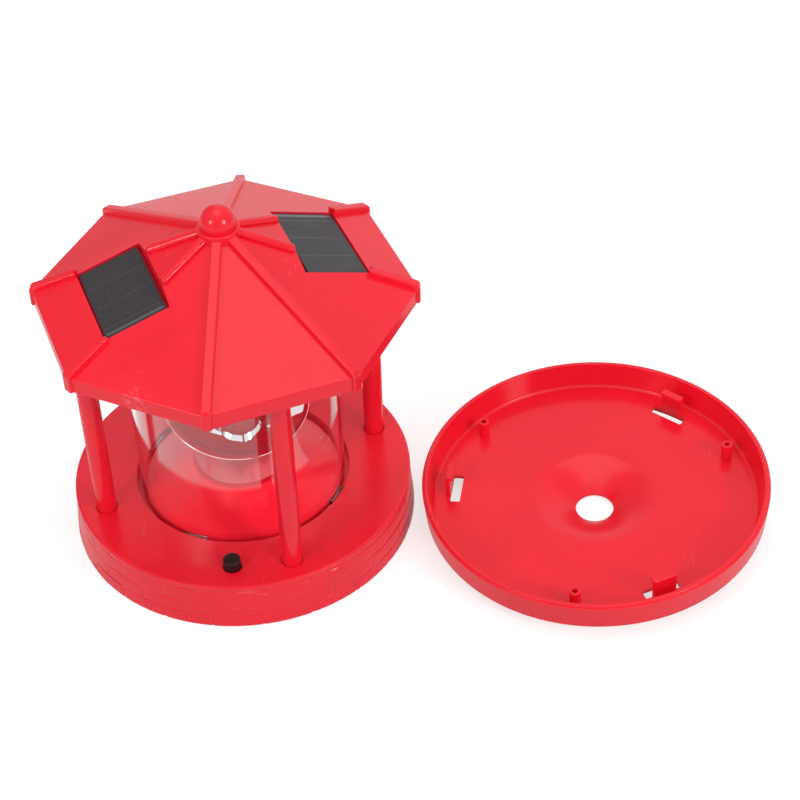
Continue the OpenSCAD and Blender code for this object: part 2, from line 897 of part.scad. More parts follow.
// all the ribs, those beside a panel in two lengths with square ends
module ribs() {
    reach = pocket_length / 2 * cos(panel_slope);
    stop = (panel_distance - reach) / cos(side_angle / 2) - rib_width / 2 * tan(side_angle / 2);
    restart = (panel_distance + reach) / cos(side_angle / 2);
    difference() {
        for (i = [0 : side_count - 1])
            rotate([0, 0, roof_turn + i * side_angle])
                rib();
        for (turn = [face_turn, face_turn + half_turn], side = [-0.5, 0.5])
            rotate([0, 0, turn + side * side_angle])
                translate([stop, -rib_width, eave_height])
                    cube([restart - stop, 2 * rib_width, roof_rise + fascia_height]);
    }
}

// the roof's outer form without its ribs, moved in by a wall's thickness for the hollow
module roof_form(radius, peak, bottom) {
    half_span = radius * cos(side_angle / 2);
    intersection_for (i = [0 : side_count / 2 - 1])
        rotate([quarter, 0, face_turn + i * side_angle])
            translate([0, 0, -radius])
                linear_extrude(2 * radius)
                    polygon([
                        [-half_span, bottom], [half_span, bottom], [half_span, fascia_top],
                        [0, peak], [-half_span, fascia_top]
                    ]);
}

// the eight-sided roof with its ribs, its fascia and the pockets of the panels
module roof_shell() {
    color(red)
    difference() {
        union() {
            difference() {
                union() {
                    roof_form(roof_radius, roof_peak, eave_height);
                    ribs();
                    translate([0, 0, inner_peak - 6])
                        cylinder(r = collar_radius, h = collar_top - inner_peak + 6);
                }
                roof_form(inner_radius, inner_peak, eave_height - over);
            }
            intersection() {
                roof_form(roof_radius, roof_peak, eave_height);
                for (turn = [face_turn, face_turn + half_turn])
                    on_panel(turn)
                        translate([0, 0, -pocket_depth - tray_wall])
                            block(pocket_length + 2 * tray_wall, pocket_width + 2 * tray_wall, pocket_cut);
            }
        }
        for (turn = [face_turn, face_turn + half_turn])
            on_panel(turn) {
                translate([0, 0, -pocket_depth])
                    block(pocket_length, pocket_width, pocket_cut);
                translate([0, 0, -pocket_depth - tray_wall - over])
                    cylinder(r = 1.5, h = 2 * over + tray_wall);
            }
        translate([0, 0, collar_top - 8])
            cylinder(r = stem_radius + fit, h = 8 + over);
    }
}

// the ball on top of the roof, with the stem that holds it
module finial() {
    color(red)
    union() {
        difference() {
            translate([0, 0, ball_height])
                sphere(r = ball_radius);
            translate([0, 0, ball_height - 2 * ball_radius])
                cylinder(r = ball_radius + over, h = collar_top - ball_height + 2 * ball_radius);
        }
        translate([0, 0, collar_top - 7])
            cylinder(r = stem_radius, h = 7 + over);
    }
}

// a solar panel: its board and the three cells set into its face
module solar_panel() {
    line_depth = 0.15;
    line_width = 0.3;
    color([0.12, 0.11, 0.12])
    difference() {
        translate([0, 0, -panel_thickness])
            block(panel_length, panel_width, panel_thickness);
        for (side = [-1.5, -0.5, 0.5, 1.5])
            translate([0, side * panel_width * 0.29, -line_depth])
                block(panel_length - 1.6, line_width, line_depth + over);
    }
}

module solar_panel_left() on_panel(face_turn + half_turn) solar_panel();
module solar_panel_right() on_panel(face_turn) solar_panel();

module panel_pads() {
    color([0.9, 0.9, 0.9])
    for (turn = [face_turn, face_turn + half_turn])
        on_panel(turn)
            translate([0, 0, -pocket_depth])
                block(panel_length - 4, panel_width - 6, pad_thickness);
}

// the round dish in its own frame, rim up
module dish_body() {
    floor_under = dish_floor - dish_floor_thickness;
    steps = 8;
    drop = dish_floor + funnel_depth - hub_wall;
    run = funnel_radius - hub_hole_radius;
    under_drop = floor_under + funnel_depth;
    under_run = funnel_radius + 1 - hub_foot_radius;
    difference() {
        union() {
            rotate_extrude()
                polygon(concat(
                    [for (i = [0 : steps])
                        [funnel_radius - run * i / steps, dish_floor - drop * pow(i / steps, 1.5)]],
                    [[hub_hole_radius, -funnel_depth]],
                    [for (i = [steps : -1 : 0])
                        [funnel_radius + 1 - under_run * i / steps,
                         floor_under - under_drop * pow(i / steps, 1.5)]],
                    [[skirt_radius - skirt_wall, floor_under], [skirt_radius - skirt_wall, -skirt_depth],
                     [skirt_radius, -skirt_depth], [skirt_radius, floor_under],
                     [dish_foot_radius - 2.2, floor_under], [dish_foot_radius - 0.6, -0.7],
                     [dish_foot_radius, 0], [dish_radius, dish_height - dish_step - 0.8],
                     [dish_radius - 0.3, dish_height - dish_step], [dish_step_radius, dish_height - dish_step],
                     [dish_step_radius - 0.15, dish_height], [dish_lip_radius, dish_height],
                     [dish_floor_radius + 0.9, dish_floor + 0.9], [dish_floor_radius, dish_floor]]
                ));
            round_axis(hook_count, hook_turn, hook_radius - hook_wall, dish_floor - cut)
                translate([0, hook_offset - hook_width / 2, 0])
                    cube([hook_wall, hook_width, hook_height - dish_floor + cut]);
            round_axis(hook_count, hook_turn, hook_radius - hook_flange, hook_height - hook_wall)
                translate([0, hook_offset - hook_width / 2, 0])
                    cube([hook_flange, hook_width, hook_wall]);
            round_axis(hook_count, boss_turn, boss_circle, dish_floor - cut)
                cylinder(r = boss_radius, h = boss_height - dish_floor + cut);
        }
        round_axis(hook_count, hook_turn, hook_radius - hook_wall - slot_width, -skirt_depth - over)
            translate([0, slot_offset - slot_length / 2, 0])
                cube([slot_width, slot_length, skirt_depth + over + dish_floor + cut]);
        round_axis(hook_count, boss_turn, boss_circle, floor_under - over)
            cylinder(r = boss_hole_radius, h = boss_height - floor_under + 2 * over);
    }
}

// the mounting dish where it lies, leaning from its funnel onto its skirt
module mounting_dish() {
    color(red)
    translate([dish_place.x, dish_place.y, dish_lift])
        rotate(a = dish_tilt, v = [-sin(dish_lean), cos(dish_lean), 0])
            dish_body();
}

base_housing();
bottom_cover();
cover_screws();
battery_door();
battery();
battery_contacts();
circuit_board();
board_parts();
switch_body();
switch_button();
lamp_floor();
motor();
motor_pinion();
drive_gear();
drum();
reflector();
led_holder();
led();
clear_tube();
tube_seal();
post_right();
post_back();
post_left();
post_front();
post_screws();
ceiling_plate();
ceiling_screws();
roof_shell();
finial();
solar_panel_left();
solar_panel_right();
panel_pads();
mounting_dish();
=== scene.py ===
"""Dresses the solar lantern head of a garden lighthouse and the loose dish it mounts on.

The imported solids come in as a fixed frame. Each sub-assembly is a class that builds its
visible pieces where the solids are, gives them their finishes and tells them which body
they move with. Sizes are millimetres in the dataclass fields and become metres in meshes.
"""

import logging
import math
from dataclasses import dataclass, replace
from enum import Enum
from typing import Callable, Optional, Sequence, Union

import bmesh
import bpy
from mathutils import Matrix, Vector, noise


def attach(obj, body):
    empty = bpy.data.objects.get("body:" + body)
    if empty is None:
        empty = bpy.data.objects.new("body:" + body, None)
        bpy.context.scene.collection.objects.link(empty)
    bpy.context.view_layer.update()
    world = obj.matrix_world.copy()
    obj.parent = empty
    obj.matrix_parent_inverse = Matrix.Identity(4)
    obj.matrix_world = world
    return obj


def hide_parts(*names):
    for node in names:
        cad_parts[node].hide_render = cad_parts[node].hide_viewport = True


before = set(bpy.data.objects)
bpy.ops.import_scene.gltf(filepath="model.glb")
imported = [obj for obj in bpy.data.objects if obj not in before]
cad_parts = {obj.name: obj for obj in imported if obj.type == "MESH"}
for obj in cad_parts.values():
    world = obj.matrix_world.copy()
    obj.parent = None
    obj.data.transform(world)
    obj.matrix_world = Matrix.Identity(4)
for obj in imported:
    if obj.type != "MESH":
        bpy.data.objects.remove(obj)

log = logging.getLogger("lantern")

MM = 0.001
FULL_TURN = 2 * math.pi
OVERRUN = 1.0
MARK_SCALE = 60.0
DUST_SCALE = 900.0
FLAT_GRAIN = 0.35

Colour = tuple[float, float, float]
Point2 = tuple[float, float]
Corner = tuple[float, float, float]
Piece = bpy.types.Object
Material = bpy.types.Material
Node = bpy.types.Node
Tree = bpy.types.NodeTree
Output = bpy.types.NodeSocket
Value = Union[Output, float]


class Carve(Enum):
    """How one solid is worked into another."""

    CUT = "DIFFERENCE"
    FUSE = "UNION"
    KEEP = "INTERSECT"


class Slot(Enum):
    """Names of material slots, one given with each new piece."""

    RED = "red_plastic"
    BLACK = "black_plastic"
    CLEAR = "clear_plastic"
    SILVER = "silver_finish"
    MIRROR = "mirror_finish"
    STEEL = "steel"
    SOLAR = "solar_cell"


class Body(Enum):
    """The bodies of the frame that new pieces ride on."""

    LANTERN = "lantern"
    BEACON = "beacon"
    BUTTON = "button"
    DISH = "dish"


# ---------------------------------------------------------------- node trees


class Wiring:
    """Adds and joins the nodes of one material or group."""

    def __init__(self, tree: Tree) -> None:
        """Starts on an empty tree.

        Args:
            tree: the node tree to fill.
        """
        self.tree = tree
        self.tree.nodes.clear()
        self.count = 0

    def add(self, kind: str, **settings: object) -> Node:
        """Adds a node.

        Args:
            kind: the node's type name.
            settings: attributes to set on the node.

        Returns:
            The new node.
        """
        node = self.tree.nodes.new(kind)
        for name, value in settings.items():
            setattr(node, name, value)
        node.location = (220 * (self.count % 8), -260 * (self.count // 8))
        self.count += 1
        return node

    def put(self, socket: Output, value: object) -> None:
        """Feeds a socket from another one, or sets its own value.

        Args:
            socket: the input to feed.
            value: an output socket, a number, a vector or a colour.
        """
        if isinstance(value, Output):
            self.tree.links.new(value, socket)
        else:
            socket.default_value = value

    def math(self, operation: str, first: Value, second: Value = 0.0) -> Output:
        """Does a sum on one or two values.

        Args:
            operation: Blender's name of the operation.
            first: the first value.
            second: the second value, where the operation has one.

        Returns:
            The result's socket.
        """
        node = self.add("ShaderNodeMath", operation=operation)
        self.put(node.inputs[0], first)
        self.put(node.inputs[1], second)
        return node.outputs[0]

    def product(self, first: Value, *others: Value) -> Output:
        """Multiplies values.

        Args:
            first: the first value.
            others: the other values.

        Returns:
            The product's socket.
        """
        for other in others:
            first = self.math("MULTIPLY", first, other)
        return first

    def facing(self) -> Output:
        """Tells how far the surface faces up.

        Returns:
            The socket of the normal's Z.
        """
        split = self.add("ShaderNodeSeparateXYZ")
        self.put(split.inputs[0], self.add("ShaderNodeNewGeometry").outputs["Normal"])
        return split.outputs["Z"]

    def ramp(
        self, value: Value, low: float, high: float, to_low: float = 0.0, to_high: float = 1.0
    ) -> Output:
        """Maps a value softly from one range to another.

        Args:
            value: the value to map.
            low: where the range begins.
            high: where it ends.
            to_low: the result at low.
            to_high: the result at high.

        Returns:
            The mapped value's socket.
        """
        node = self.add("ShaderNodeMapRange", interpolation_type="SMOOTHSTEP")
        self.put(node.inputs["Value"], value)
        ends = {"From Min": low, "From Max": high, "To Min": to_low, "To Max": to_high}
        for name, number in ends.items():
            node.inputs[name].default_value = number
        return node.outputs["Result"]

    def grain(self, scale: Value, vector: Optional[Output] = None, detail: float = 3.0) -> Output:
        """A soft noise over the piece.

        Args:
            scale: how fine the noise is.
            vector: the coordinates, or None for the piece's own.
            detail: how many finer layers it has.

        Returns:
            The noise's value, about 0.5 on average.
        """
        node = self.add("ShaderNodeTexNoise")
        self.put(node.inputs["Vector"], vector or self.place())
        self.put(node.inputs["Scale"], scale)
        node.inputs["Detail"].default_value = detail
        return node.outputs["Fac"]

    def place(self) -> Output:
        """The piece's own coordinates, which stay with it when it moves."""
        return self.add("ShaderNodeTexCoord").outputs["Object"]

    def stretched(self, factors: Sequence[float], turn: Sequence[float] = (0.0, 0.0, 0.0)) -> Output:
        """The piece's own coordinates, turned and stretched.

        Args:
            factors: scale along X, Y and Z.
            turn: turn about X, Y and Z in radians.

        Returns:
            The coordinates' socket.
        """
        node = self.add("ShaderNodeMapping")
        self.put(node.inputs["Vector"], self.place())
        node.inputs["Rotation"].default_value = turn
        node.inputs["Scale"].default_value = factors
        return node.outputs["Vector"]

    def blend(self, mask: Value, first: object, second: object) -> Output:
        """Mixes two colours.

        Args:
            mask: 0 for the first colour, 1 for the second.
            first: a colour or a socket.
            second: a colour or a socket.

        Returns:
            The mixed colour's socket.
        """
        node = self.add("ShaderNodeMix", data_type="RGBA")
        self.put(node.inputs["Factor"], mask)
        for socket, value in ((node.inputs[6], first), (node.inputs[7], second)):
            self.put(socket, value if isinstance(value, Output) else (*value, 1.0))
        return node.outputs[2]

    def bumped(self, height: Output, distance: float, strength: float = 1.0) -> Output:
        """Turns a height into a normal.

        Args:
            height: the height over the surface.
            distance: the depth of the relief in metres.
            strength: how much of it shows.

        Returns:
            The normal's socket.
        """
        node = self.add("ShaderNodeBump")
        node.inputs["Strength"].default_value = strength
        node.inputs["Distance"].default_value = distance
        self.put(node.inputs["Height"], height)
        return node.outputs["Normal"]


class SharedEffects:
    """Node groups that several finishes use, each built once."""

    def __init__(self) -> None:
        """Builds every group."""
        self.moulded_grain = self._moulded_grain()
        self.handling_marks = self._handling_marks()
        self.settled_dust = self._settled_dust()
        self.edge_wear_and_highlight = self._edge_wear_and_highlight()

    @staticmethod
    def _group(name: str, inputs: dict[str, float], outputs: Sequence[str]) -> tuple[Wiring, dict, Node]:
        """Starts a group with named inputs and outputs.

        Args:
            name: the group's name.
            inputs: each input's name and its usual value.
            outputs: the outputs' names.

        Returns:
            The wiring, the inputs' sockets by name, and the output node.
        """
        tree = bpy.data.node_groups.new(name, "ShaderNodeTree")
        for label, value in inputs.items():
            socket = tree.interface.new_socket(name=label, in_out="INPUT", socket_type="NodeSocketFloat")
            socket.default_value = value
        for label in outputs:
            tree.interface.new_socket(name=label, in_out="OUTPUT", socket_type="NodeSocketFloat")
        wires = Wiring(tree)
        entry = wires.add("NodeGroupInput")
        return wires, {label: entry.outputs[label] for label in inputs}, wires.add("NodeGroupOutput")

    def _moulded_grain(self) -> Tree:
        """Fine grain of a moulded skin, with the slow waves that cooling leaves.

        Returns:
            The group, which gives a height and a tone.
        """
        wires, given, out = self._group("moulded grain", {"Scale": 2600.0}, ("Height", "Tone"))
        fine = wires.grain(given["Scale"])
        slow = wires.grain(wires.product(given["Scale"], 0.012), detail=2.0)
        wires.put(out.inputs["Height"], wires.math("ADD", fine, wires.product(slow, 0.6)))
        wires.put(out.inputs["Tone"], slow)
        return wires.tree

    def _handling_marks(self) -> Tree:
        """Short pale scratches and rubs in a few patches.

        Returns:
            The group, which gives a mask.
        """
        wires, given, out = self._group("handling marks", {"Scale": MARK_SCALE, "Amount": 0.5}, ("Mask",))
        lines = None
        for factors, turn in (((1.0, 16.0, 9.0), (0.0, 0.3, 0.5)), ((12.0, 1.0, 14.0), (0.4, 0.0, 0.9))):
            streak = wires.grain(given["Scale"], wires.stretched(factors, turn), detail=2.0)
            line = wires.ramp(streak, 0.66, 0.74)
            lines = line if lines is None else wires.math("MAXIMUM", lines, line)
        patch = wires.ramp(wires.grain(wires.product(given["Scale"], 0.7), detail=4.0), 0.52, 0.68)
        wires.put(out.inputs["Mask"], wires.product(lines, patch, given["Amount"]))
        return wires.tree

    def _settled_dust(self) -> Tree:
        """Specks of dust on what faces up.

        Returns:
            The group, which gives a mask.
        """
        wires, given, out = self._group("settled dust", {"Scale": DUST_SCALE, "Amount": 0.3}, ("Mask",))
        specks = wires.add("ShaderNodeTexVoronoi", feature="F1")
        wires.put(specks.inputs["Vector"], wires.place())
        wires.put(specks.inputs["Scale"], given["Scale"])
        dot = wires.ramp(specks.outputs["Distance"], 0.16, 0.07)
        rare = wires.ramp(wires.grain(wires.product(given["Scale"], 0.11), detail=4.0), 0.58, 0.7)
        up = wires.ramp(wires.facing(), 0.3, 0.95)
        mask = wires.product(dot, rare, up, given["Amount"])
        wires.put(out.inputs["Mask"], mask)
        return wires.tree

    def _edge_wear_and_highlight(self) -> Tree:
        """Pale outer edges on upright walls: partly rubbed wear, partly a painted highlight where the
        edges catch the light.

        Returns:
            The group, which gives a mask.
        """
        wires, given, out = self._group("edge wear", {"Amount": 0.5}, ("Mask",))
        # Pale colour on convex edges: partly painted highlight along the edges, partly real rubbing.
        sharp = wires.ramp(wires.add("ShaderNodeNewGeometry").outputs["Pointiness"], 0.515, 0.58)
        broken = wires.ramp(wires.grain(420.0, detail=4.0), 0.35, 0.65)
        level = wires.math("ABSOLUTE", wires.facing())
        upright = wires.ramp(level, 0.8, 0.5)
        wires.put(out.inputs["Mask"], wires.product(sharp, broken, upright, given["Amount"]))
        return wires.tree


def place_group(wires: Wiring, group: Tree, **values: float) -> Node:
    """Places a shared group in a material.

    Args:
        wires: the material's wiring.
        group: the shared group.
        values: its inputs' values.

    Returns:
        The group's node.
    """
    node = wires.add("ShaderNodeGroup", node_tree=group)
    for name, value in values.items():
        node.inputs[name].default_value = value
    return node


def new_material(name: str) -> tuple[Material, Wiring, Node, Node]:
    """Starts a material with its shader and its output.

    Args:
        name: the material's name.

    Returns:
        The material, its wiring, the shader and the output node.
    """
    material = bpy.data.materials.new(name)
    material.use_nodes = True
    wires = Wiring(material.node_tree)
    shader = wires.add("ShaderNodeBsdfPrincipled")
    out = wires.add("ShaderNodeOutputMaterial")
    wires.put(out.inputs["Surface"], shader.outputs[0])
    return material, wires, shader, out


# ---------------------------------------------------------------- finishes


@dataclass(frozen=True)
class MouldedPlastic:
    """Solid plastic with the skin of its mould."""

    name: str
    colour: Colour
    pale: Colour
    roughness: float = 0.215
    grain_scale: float = 2600.0
    grain_depth: float = 0.00003
    marks: float = 0.15
    # Pale convex edges on upright walls: partly rubbed wear, partly painted highlight.
    wear_and_highlight: float = 0.0
    dust: float = 0.15
    dust_colour: Colour = (0.80, 0.76, 0.72)
    tone: float = 0.03
    scuff: Optional[Corner] = None
    scuff_reach: float = 0.009

    def make(self, effects: SharedEffects) -> Material:
        """Builds the material.

        Args:
            effects: the shared node groups.

        Returns:
            The material.
        """
        material, wires, shader, _ = new_material(self.name)
        skin = place_group(wires, effects.moulded_grain, Scale=self.grain_scale)
        marks = place_group(wires, effects.handling_marks, Scale=MARK_SCALE, Amount=self.marks)
        # Pale edges: partly rubbed wear, partly painted highlight along the edges.
        wear_and_highlight = place_group(wires, effects.edge_wear_and_highlight, Amount=self.wear_and_highlight)
        dust = place_group(wires, effects.settled_dust, Scale=DUST_SCALE, Amount=self.dust)
        darker = tuple(c * (1 - self.tone) for c in self.colour)
        brighter = tuple(min(1.0, c * (1 + self.tone)) for c in self.colour)
        tone = wires.blend(wires.ramp(skin.outputs["Tone"], 0.35, 0.65), darker, brighter)
        rubbed = wires.math("MAXIMUM", marks.outputs["Mask"], wear_and_highlight.outputs["Mask"])
        if self.scuff:
            rubbed = wires.math("MAXIMUM", rubbed, self._scuffed(wires, self.scuff))
        # Pale colour of marks, scuff and edges; on the edges it is partly painted highlight.
        worn_and_highlit = wires.blend(rubbed, tone, self.pale)
        dusty = wires.blend(dust.outputs["Mask"], worn_and_highlit, self.dust_colour)
        wires.put(shader.inputs["Base Color"], dusty)
        rough = wires.ramp(skin.outputs["Tone"], 0.3, 0.7, self.roughness - 0.03, self.roughness + 0.03)
        wires.put(shader.inputs["Roughness"], rough)
        normal = wires.bumped(skin.outputs["Height"], self.grain_depth, FLAT_GRAIN)
        wires.put(shader.inputs["Normal"], normal)
        return material

    def _scuffed(self, wires: Wiring, centre: Corner) -> Output:
        """A pale rub in one place.

        Args:
            wires: the material's wiring.
            centre: where it is, in metres.

        Returns:
            The rub's mask.
        """
        reach = wires.add("ShaderNodeVectorMath", operation="DISTANCE")
        wires.put(reach.inputs[0], wires.place())
        reach.inputs[1].default_value = centre
        near = wires.ramp(reach.outputs["Value"], self.scuff_reach, 0.2 * self.scuff_reach)
        broken = wires.ramp(wires.grain(520.0, wires.stretched((1.0, 1.0, 3.0)), detail=4.0), 0.46, 0.68)
        return wires.product(near, broken, 0.6)


@dataclass(frozen=True)
class BrightMetal:
    """Metal, or plastic with a bright metal film."""

    name: str
    colour: Colour
    roughness: float = 0.08
    turned: float = 0.0
    marks: float = 0.3

    def make(self, effects: SharedEffects) -> Material:
        """Builds the material.

        Args:
            effects: the shared node groups.

        Returns:
            The material.
        """
        material, wires, shader, _ = new_material(self.name)
        skin = place_group(wires, effects.moulded_grain, Scale=900.0)
        marks = place_group(wires, effects.handling_marks, Scale=110.0, Amount=self.marks)
        rings = wires.grain(1.0, wires.stretched((20.0, 20.0, 5200.0)), detail=2.0)
        dull = tuple(c * 0.9 for c in self.colour)
        patches = wires.ramp(skin.outputs["Tone"], 0.3, 0.7)
        wires.put(shader.inputs["Base Color"], wires.blend(patches, self.colour, dull))
        shader.inputs["Metallic"].default_value = 1.0
        rough = wires.ramp(rings, 0.3, 0.7, self.roughness, self.roughness + 0.1 * self.turned + 0.02)
        rubbed = wires.product(marks.outputs["Mask"], 0.3)
        wires.put(shader.inputs["Roughness"], wires.math("ADD", rough, rubbed))
        slow = wires.product(skin.outputs["Tone"], 0.5)
        height = wires.math("ADD", wires.product(rings, self.turned), slow)
        wires.put(shader.inputs["Normal"], wires.bumped(height, 0.00002, 0.3))
        return material


@dataclass(frozen=True)
class ClearPlastic:
    """Clear polished plastic with a few hairlines."""

    name: str
    tint: Colour
    index: float = 1.49
    roughness: float = 0.01

    def make(self, effects: SharedEffects) -> Material:
        """Builds the material, which lets the lamps through to what stands inside.

        Args:
            effects: the shared node groups.

        Returns:
            The material.
        """
        material, wires, shader, out = new_material(self.name)
        marks = place_group(wires, effects.handling_marks, Scale=90.0, Amount=0.5)
        skin = place_group(wires, effects.moulded_grain, Scale=220.0)
        tint = wires.blend(wires.ramp(skin.outputs["Tone"], 0.2, 0.8), self.tint, (1.0, 1.0, 1.0))
        wires.put(shader.inputs["Base Color"], tint)
        shader.inputs["Transmission Weight"].default_value = 1.0
        shader.inputs["IOR"].default_value = self.index
        wires.put(shader.inputs["Roughness"], wires.product(marks.outputs["Mask"], 0.2))
        wires.put(shader.inputs["Normal"], wires.bumped(skin.outputs["Tone"], 0.0002, 0.15))
        through = wires.add("ShaderNodeBsdfTransparent")
        through.inputs["Color"].default_value = (*self.tint, 1.0)
        mix = wires.add("ShaderNodeMixShader")
        wires.put(mix.inputs[0], wires.add("ShaderNodeLightPath").outputs["Is Shadow Ray"])
        wires.put(mix.inputs[1], shader.outputs[0])
        wires.put(mix.inputs[2], through.outputs[0])
        wires.put(out.inputs["Surface"], mix.outputs[0])
        return material


@dataclass(frozen=True)
class SolarCells:
    """Dark cells under a layer of clear resin."""

    name: str
    colour: Colour
    roughness: float = 0.30

    def make(self, effects: SharedEffects) -> Material:
        """Builds the material.

        Args:
            effects: the shared node groups.

        Returns:
            The material.
        """
        material, wires, shader, _ = new_material(self.name)
        marks = place_group(wires, effects.handling_marks, Scale=120.0, Amount=0.25)
        dust = place_group(wires, effects.settled_dust, Scale=700.0, Amount=0.5)
        grains = wires.add("ShaderNodeTexVoronoi", feature="F1")
        wires.put(grains.inputs["Vector"], wires.place())
        grains.inputs["Scale"].default_value = 900.0
        bright = tuple(c * 1.35 for c in self.colour)
        shade = wires.blend(wires.ramp(grains.outputs["Distance"], 0.1, 0.8), self.colour, bright)
        rubbed = wires.blend(marks.outputs["Mask"], shade, (0.25, 0.24, 0.25))
        dusty = wires.blend(dust.outputs["Mask"], rubbed, (0.5, 0.47, 0.45))
        wires.put(shader.inputs["Base Color"], dusty)
        cloudy = wires.grain(160.0, detail=4.0)
        rough = wires.ramp(cloudy, 0.3, 0.7, self.roughness, self.roughness + 0.12)
        wires.put(shader.inputs["Roughness"], rough)
        wires.put(shader.inputs["Normal"], wires.bumped(cloudy, 0.0001, 0.2))
        return material


@dataclass(frozen=True)
class SoftMatter:
    """Rubber or foam with a fine open grain."""

    name: str
    colour: Colour
    cells: float = 1800.0

    def make(self, effects: SharedEffects) -> Material:
        """Builds the material.

        Args:
            effects: the shared node groups.

        Returns:
            The material.
        """
        material, wires, shader, _ = new_material(self.name)
        skin = place_group(wires, effects.moulded_grain, Scale=self.cells)
        dust = place_group(wires, effects.settled_dust, Scale=DUST_SCALE, Amount=0.5)
        dark = tuple(c * 0.7 for c in self.colour)
        tone = wires.blend(skin.outputs["Height"], dark, self.colour)
        wires.put(shader.inputs["Base Color"], wires.blend(dust.outputs["Mask"], tone, (0.5, 0.48, 0.45)))
        shader.inputs["Roughness"].default_value = 0.8
        wires.put(shader.inputs["Normal"], wires.bumped(skin.outputs["Height"], 0.0001, 0.5))
        return material


@dataclass(frozen=True)
class Finishes:
    """Every material of the part, by name."""

    red: Material
    roof: Material
    bricks: Material
    black: Material
    button: Material
    white: Material
    grey: Material
    clear: Material
    drum: Material
    mirror: Material
    steel: Material
    wrap: Material
    board: Material
    cells: Material
    grid: Material
    seal: Material
    foam: Material
    resin: Material

    @classmethod
    def mix(cls, effects: SharedEffects) -> "Finishes":
        """Mixes them all.

        Args:
            effects: the shared node groups.

        Returns:
            The finishes.
        """
        red = MouldedPlastic("red plastic", (0.90, 0.010, 0.028), (0.95, 0.20, 0.24))
        black = MouldedPlastic(
            "black plastic", (0.012, 0.012, 0.012), (0.1, 0.1, 0.1), roughness=0.4
        )
        kinds = {
            "red": red,
            "roof": replace(red, name="red roof", marks=0.2, scuff=(-0.0301, -0.0661, 0.1152)),
            # The bricks' pale edges are partly rubbed wear and partly painted highlight along the joints.
            "bricks": replace(red, name="red bricks", marks=0.25, wear_and_highlight=0.8, dust=0.3),
            "black": black,
            "button": replace(
                black, name="button black", colour=(0.010, 0.010, 0.010), roughness=0.18, marks=0.05
            ),
            "grey": replace(
                black, name="grey plastic", colour=(0.12, 0.12, 0.12), pale=(0.3, 0.3, 0.3)
            ),
            "white": MouldedPlastic(
                "white plastic", (0.82, 0.82, 0.80), (0.9, 0.9, 0.9), roughness=0.45
            ),
            "clear": ClearPlastic("clear plastic", (0.97, 0.985, 0.985)),
            "drum": BrightMetal(
                "silver film", (0.80, 0.79, 0.81), roughness=0.18, turned=0.3, marks=0.0
            ),
            "mirror": BrightMetal("mirror film", (0.93, 0.93, 0.95), roughness=0.03),
            "steel": BrightMetal("zinc plate", (0.62, 0.61, 0.60), roughness=0.30, turned=1.0),
            "wrap": MouldedPlastic(
                "green wrap", (0.03, 0.16, 0.07), (0.4, 0.5, 0.4), roughness=0.34
            ),
            "board": MouldedPlastic(
                "circuit board", (0.02, 0.12, 0.05), (0.2, 0.3, 0.2), roughness=0.35
            ),
            "cells": SolarCells("solar cells", (0.035, 0.030, 0.034)),
            "grid": BrightMetal("silver lines", (0.34, 0.33, 0.34), roughness=0.4),
            "seal": SoftMatter("dark rubber", (0.10, 0.012, 0.016)),
            "foam": SoftMatter("foam", (0.75, 0.74, 0.70), cells=1200.0),
            "resin": MouldedPlastic(
                "lamp resin", (0.85, 0.84, 0.74), (0.9, 0.9, 0.9), roughness=0.1, marks=0.1
            ),
        }
        return cls(**{name: kind.make(effects) for name, kind in kinds.items()})


# ---------------------------------------------------------------- meshes


def rounded(corners: Sequence[Corner], steps: int = 5) -> list[Point2]:
    """Rounds the corners of an outline.

    Args:
        corners: x, y and the radius of each corner, in order.
        steps: how many points a rounded corner has, less one.

    Returns:
        The outline's points.
    """
    points: list[Point2] = []
    count = len(corners)
    for i, (x, y, radius) in enumerate(corners):
        here = Vector((x, y))
        before = Vector(corners[i - 1][:2]) - here
        after = Vector(corners[(i + 1) % count][:2]) - here
        if radius <= 0:
            points.append((x, y))
            continue
        half = before.angle(after) / 2
        reach = min(radius / math.tan(half), 0.49 * before.length, 0.49 * after.length)
        start, end = here + before.normalized() * reach, here + after.normalized() * reach
        for k in range(steps + 1):
            t = k / steps
            bent = start * (1 - t) ** 2 + here * (2 * t * (1 - t)) + end * t**2
            points.append((bent.x, bent.y))
    return points


def new_object(name: str, mesh: bpy.types.Mesh) -> Piece:
    """Puts a mesh into the scene.

    Args:
        name: the object's name.
        mesh: its mesh.

    Returns:
        The object.
    """
    made = bpy.data.objects.new(name, mesh)
    bpy.context.scene.collection.objects.link(made)
    return made


def from_faces(name: str, points: Sequence[Sequence[float]], faces: Sequence[Sequence[int]]) -> Piece:
    """Makes an object from points in millimetres and faces.

    Args:
        name: the object's name.
        points: the vertices in millimetres.
        faces: each face's vertices.

    Returns:
        The object, in metres, with its faces turned outwards.
    """
    mesh = bpy.data.meshes.new(name)
    mesh.from_pydata([tuple(c * MM for c in p) for p in points], [], faces)
    build = bmesh.new()
    build.from_mesh(mesh)
    bmesh.ops.recalc_face_normals(build, faces=build.faces)
    build.to_mesh(mesh)
    build.free()
    return new_object(name, mesh)


def revolved(name: str, outline: Sequence[Point2], segments: int = 192) -> Piece:
    """Turns a closed outline of radius and height about the upright axis.

    Args:
        name: the object's name.
        outline: radius and height of each point; points at radius 0 close the solid.
        segments: how many steps a full turn has.

    Returns:
        The closed solid.
    """
    points: list[Corner] = []
    starts: list[tuple[int, bool]] = []
    for radius, height in outline:
        on_axis = radius < 1e-6
        starts.append((len(points), on_axis))
        for k in range(1 if on_axis else segments):
            angle = FULL_TURN * k / segments
            points.append((radius * math.cos(angle), radius * math.sin(angle), height))
    faces = []
    for i, (low, low_axis) in enumerate(starts):
        high, high_axis = starts[(i + 1) % len(starts)]
        if low_axis and high_axis:
            continue
        for k in range(segments):
            n = (k + 1) % segments
            ring = [low] if low_axis else [low + k, low + n]
            ring += [high] if high_axis else [high + n, high + k]
            faces.append(ring)
    return from_faces(name, points, faces)


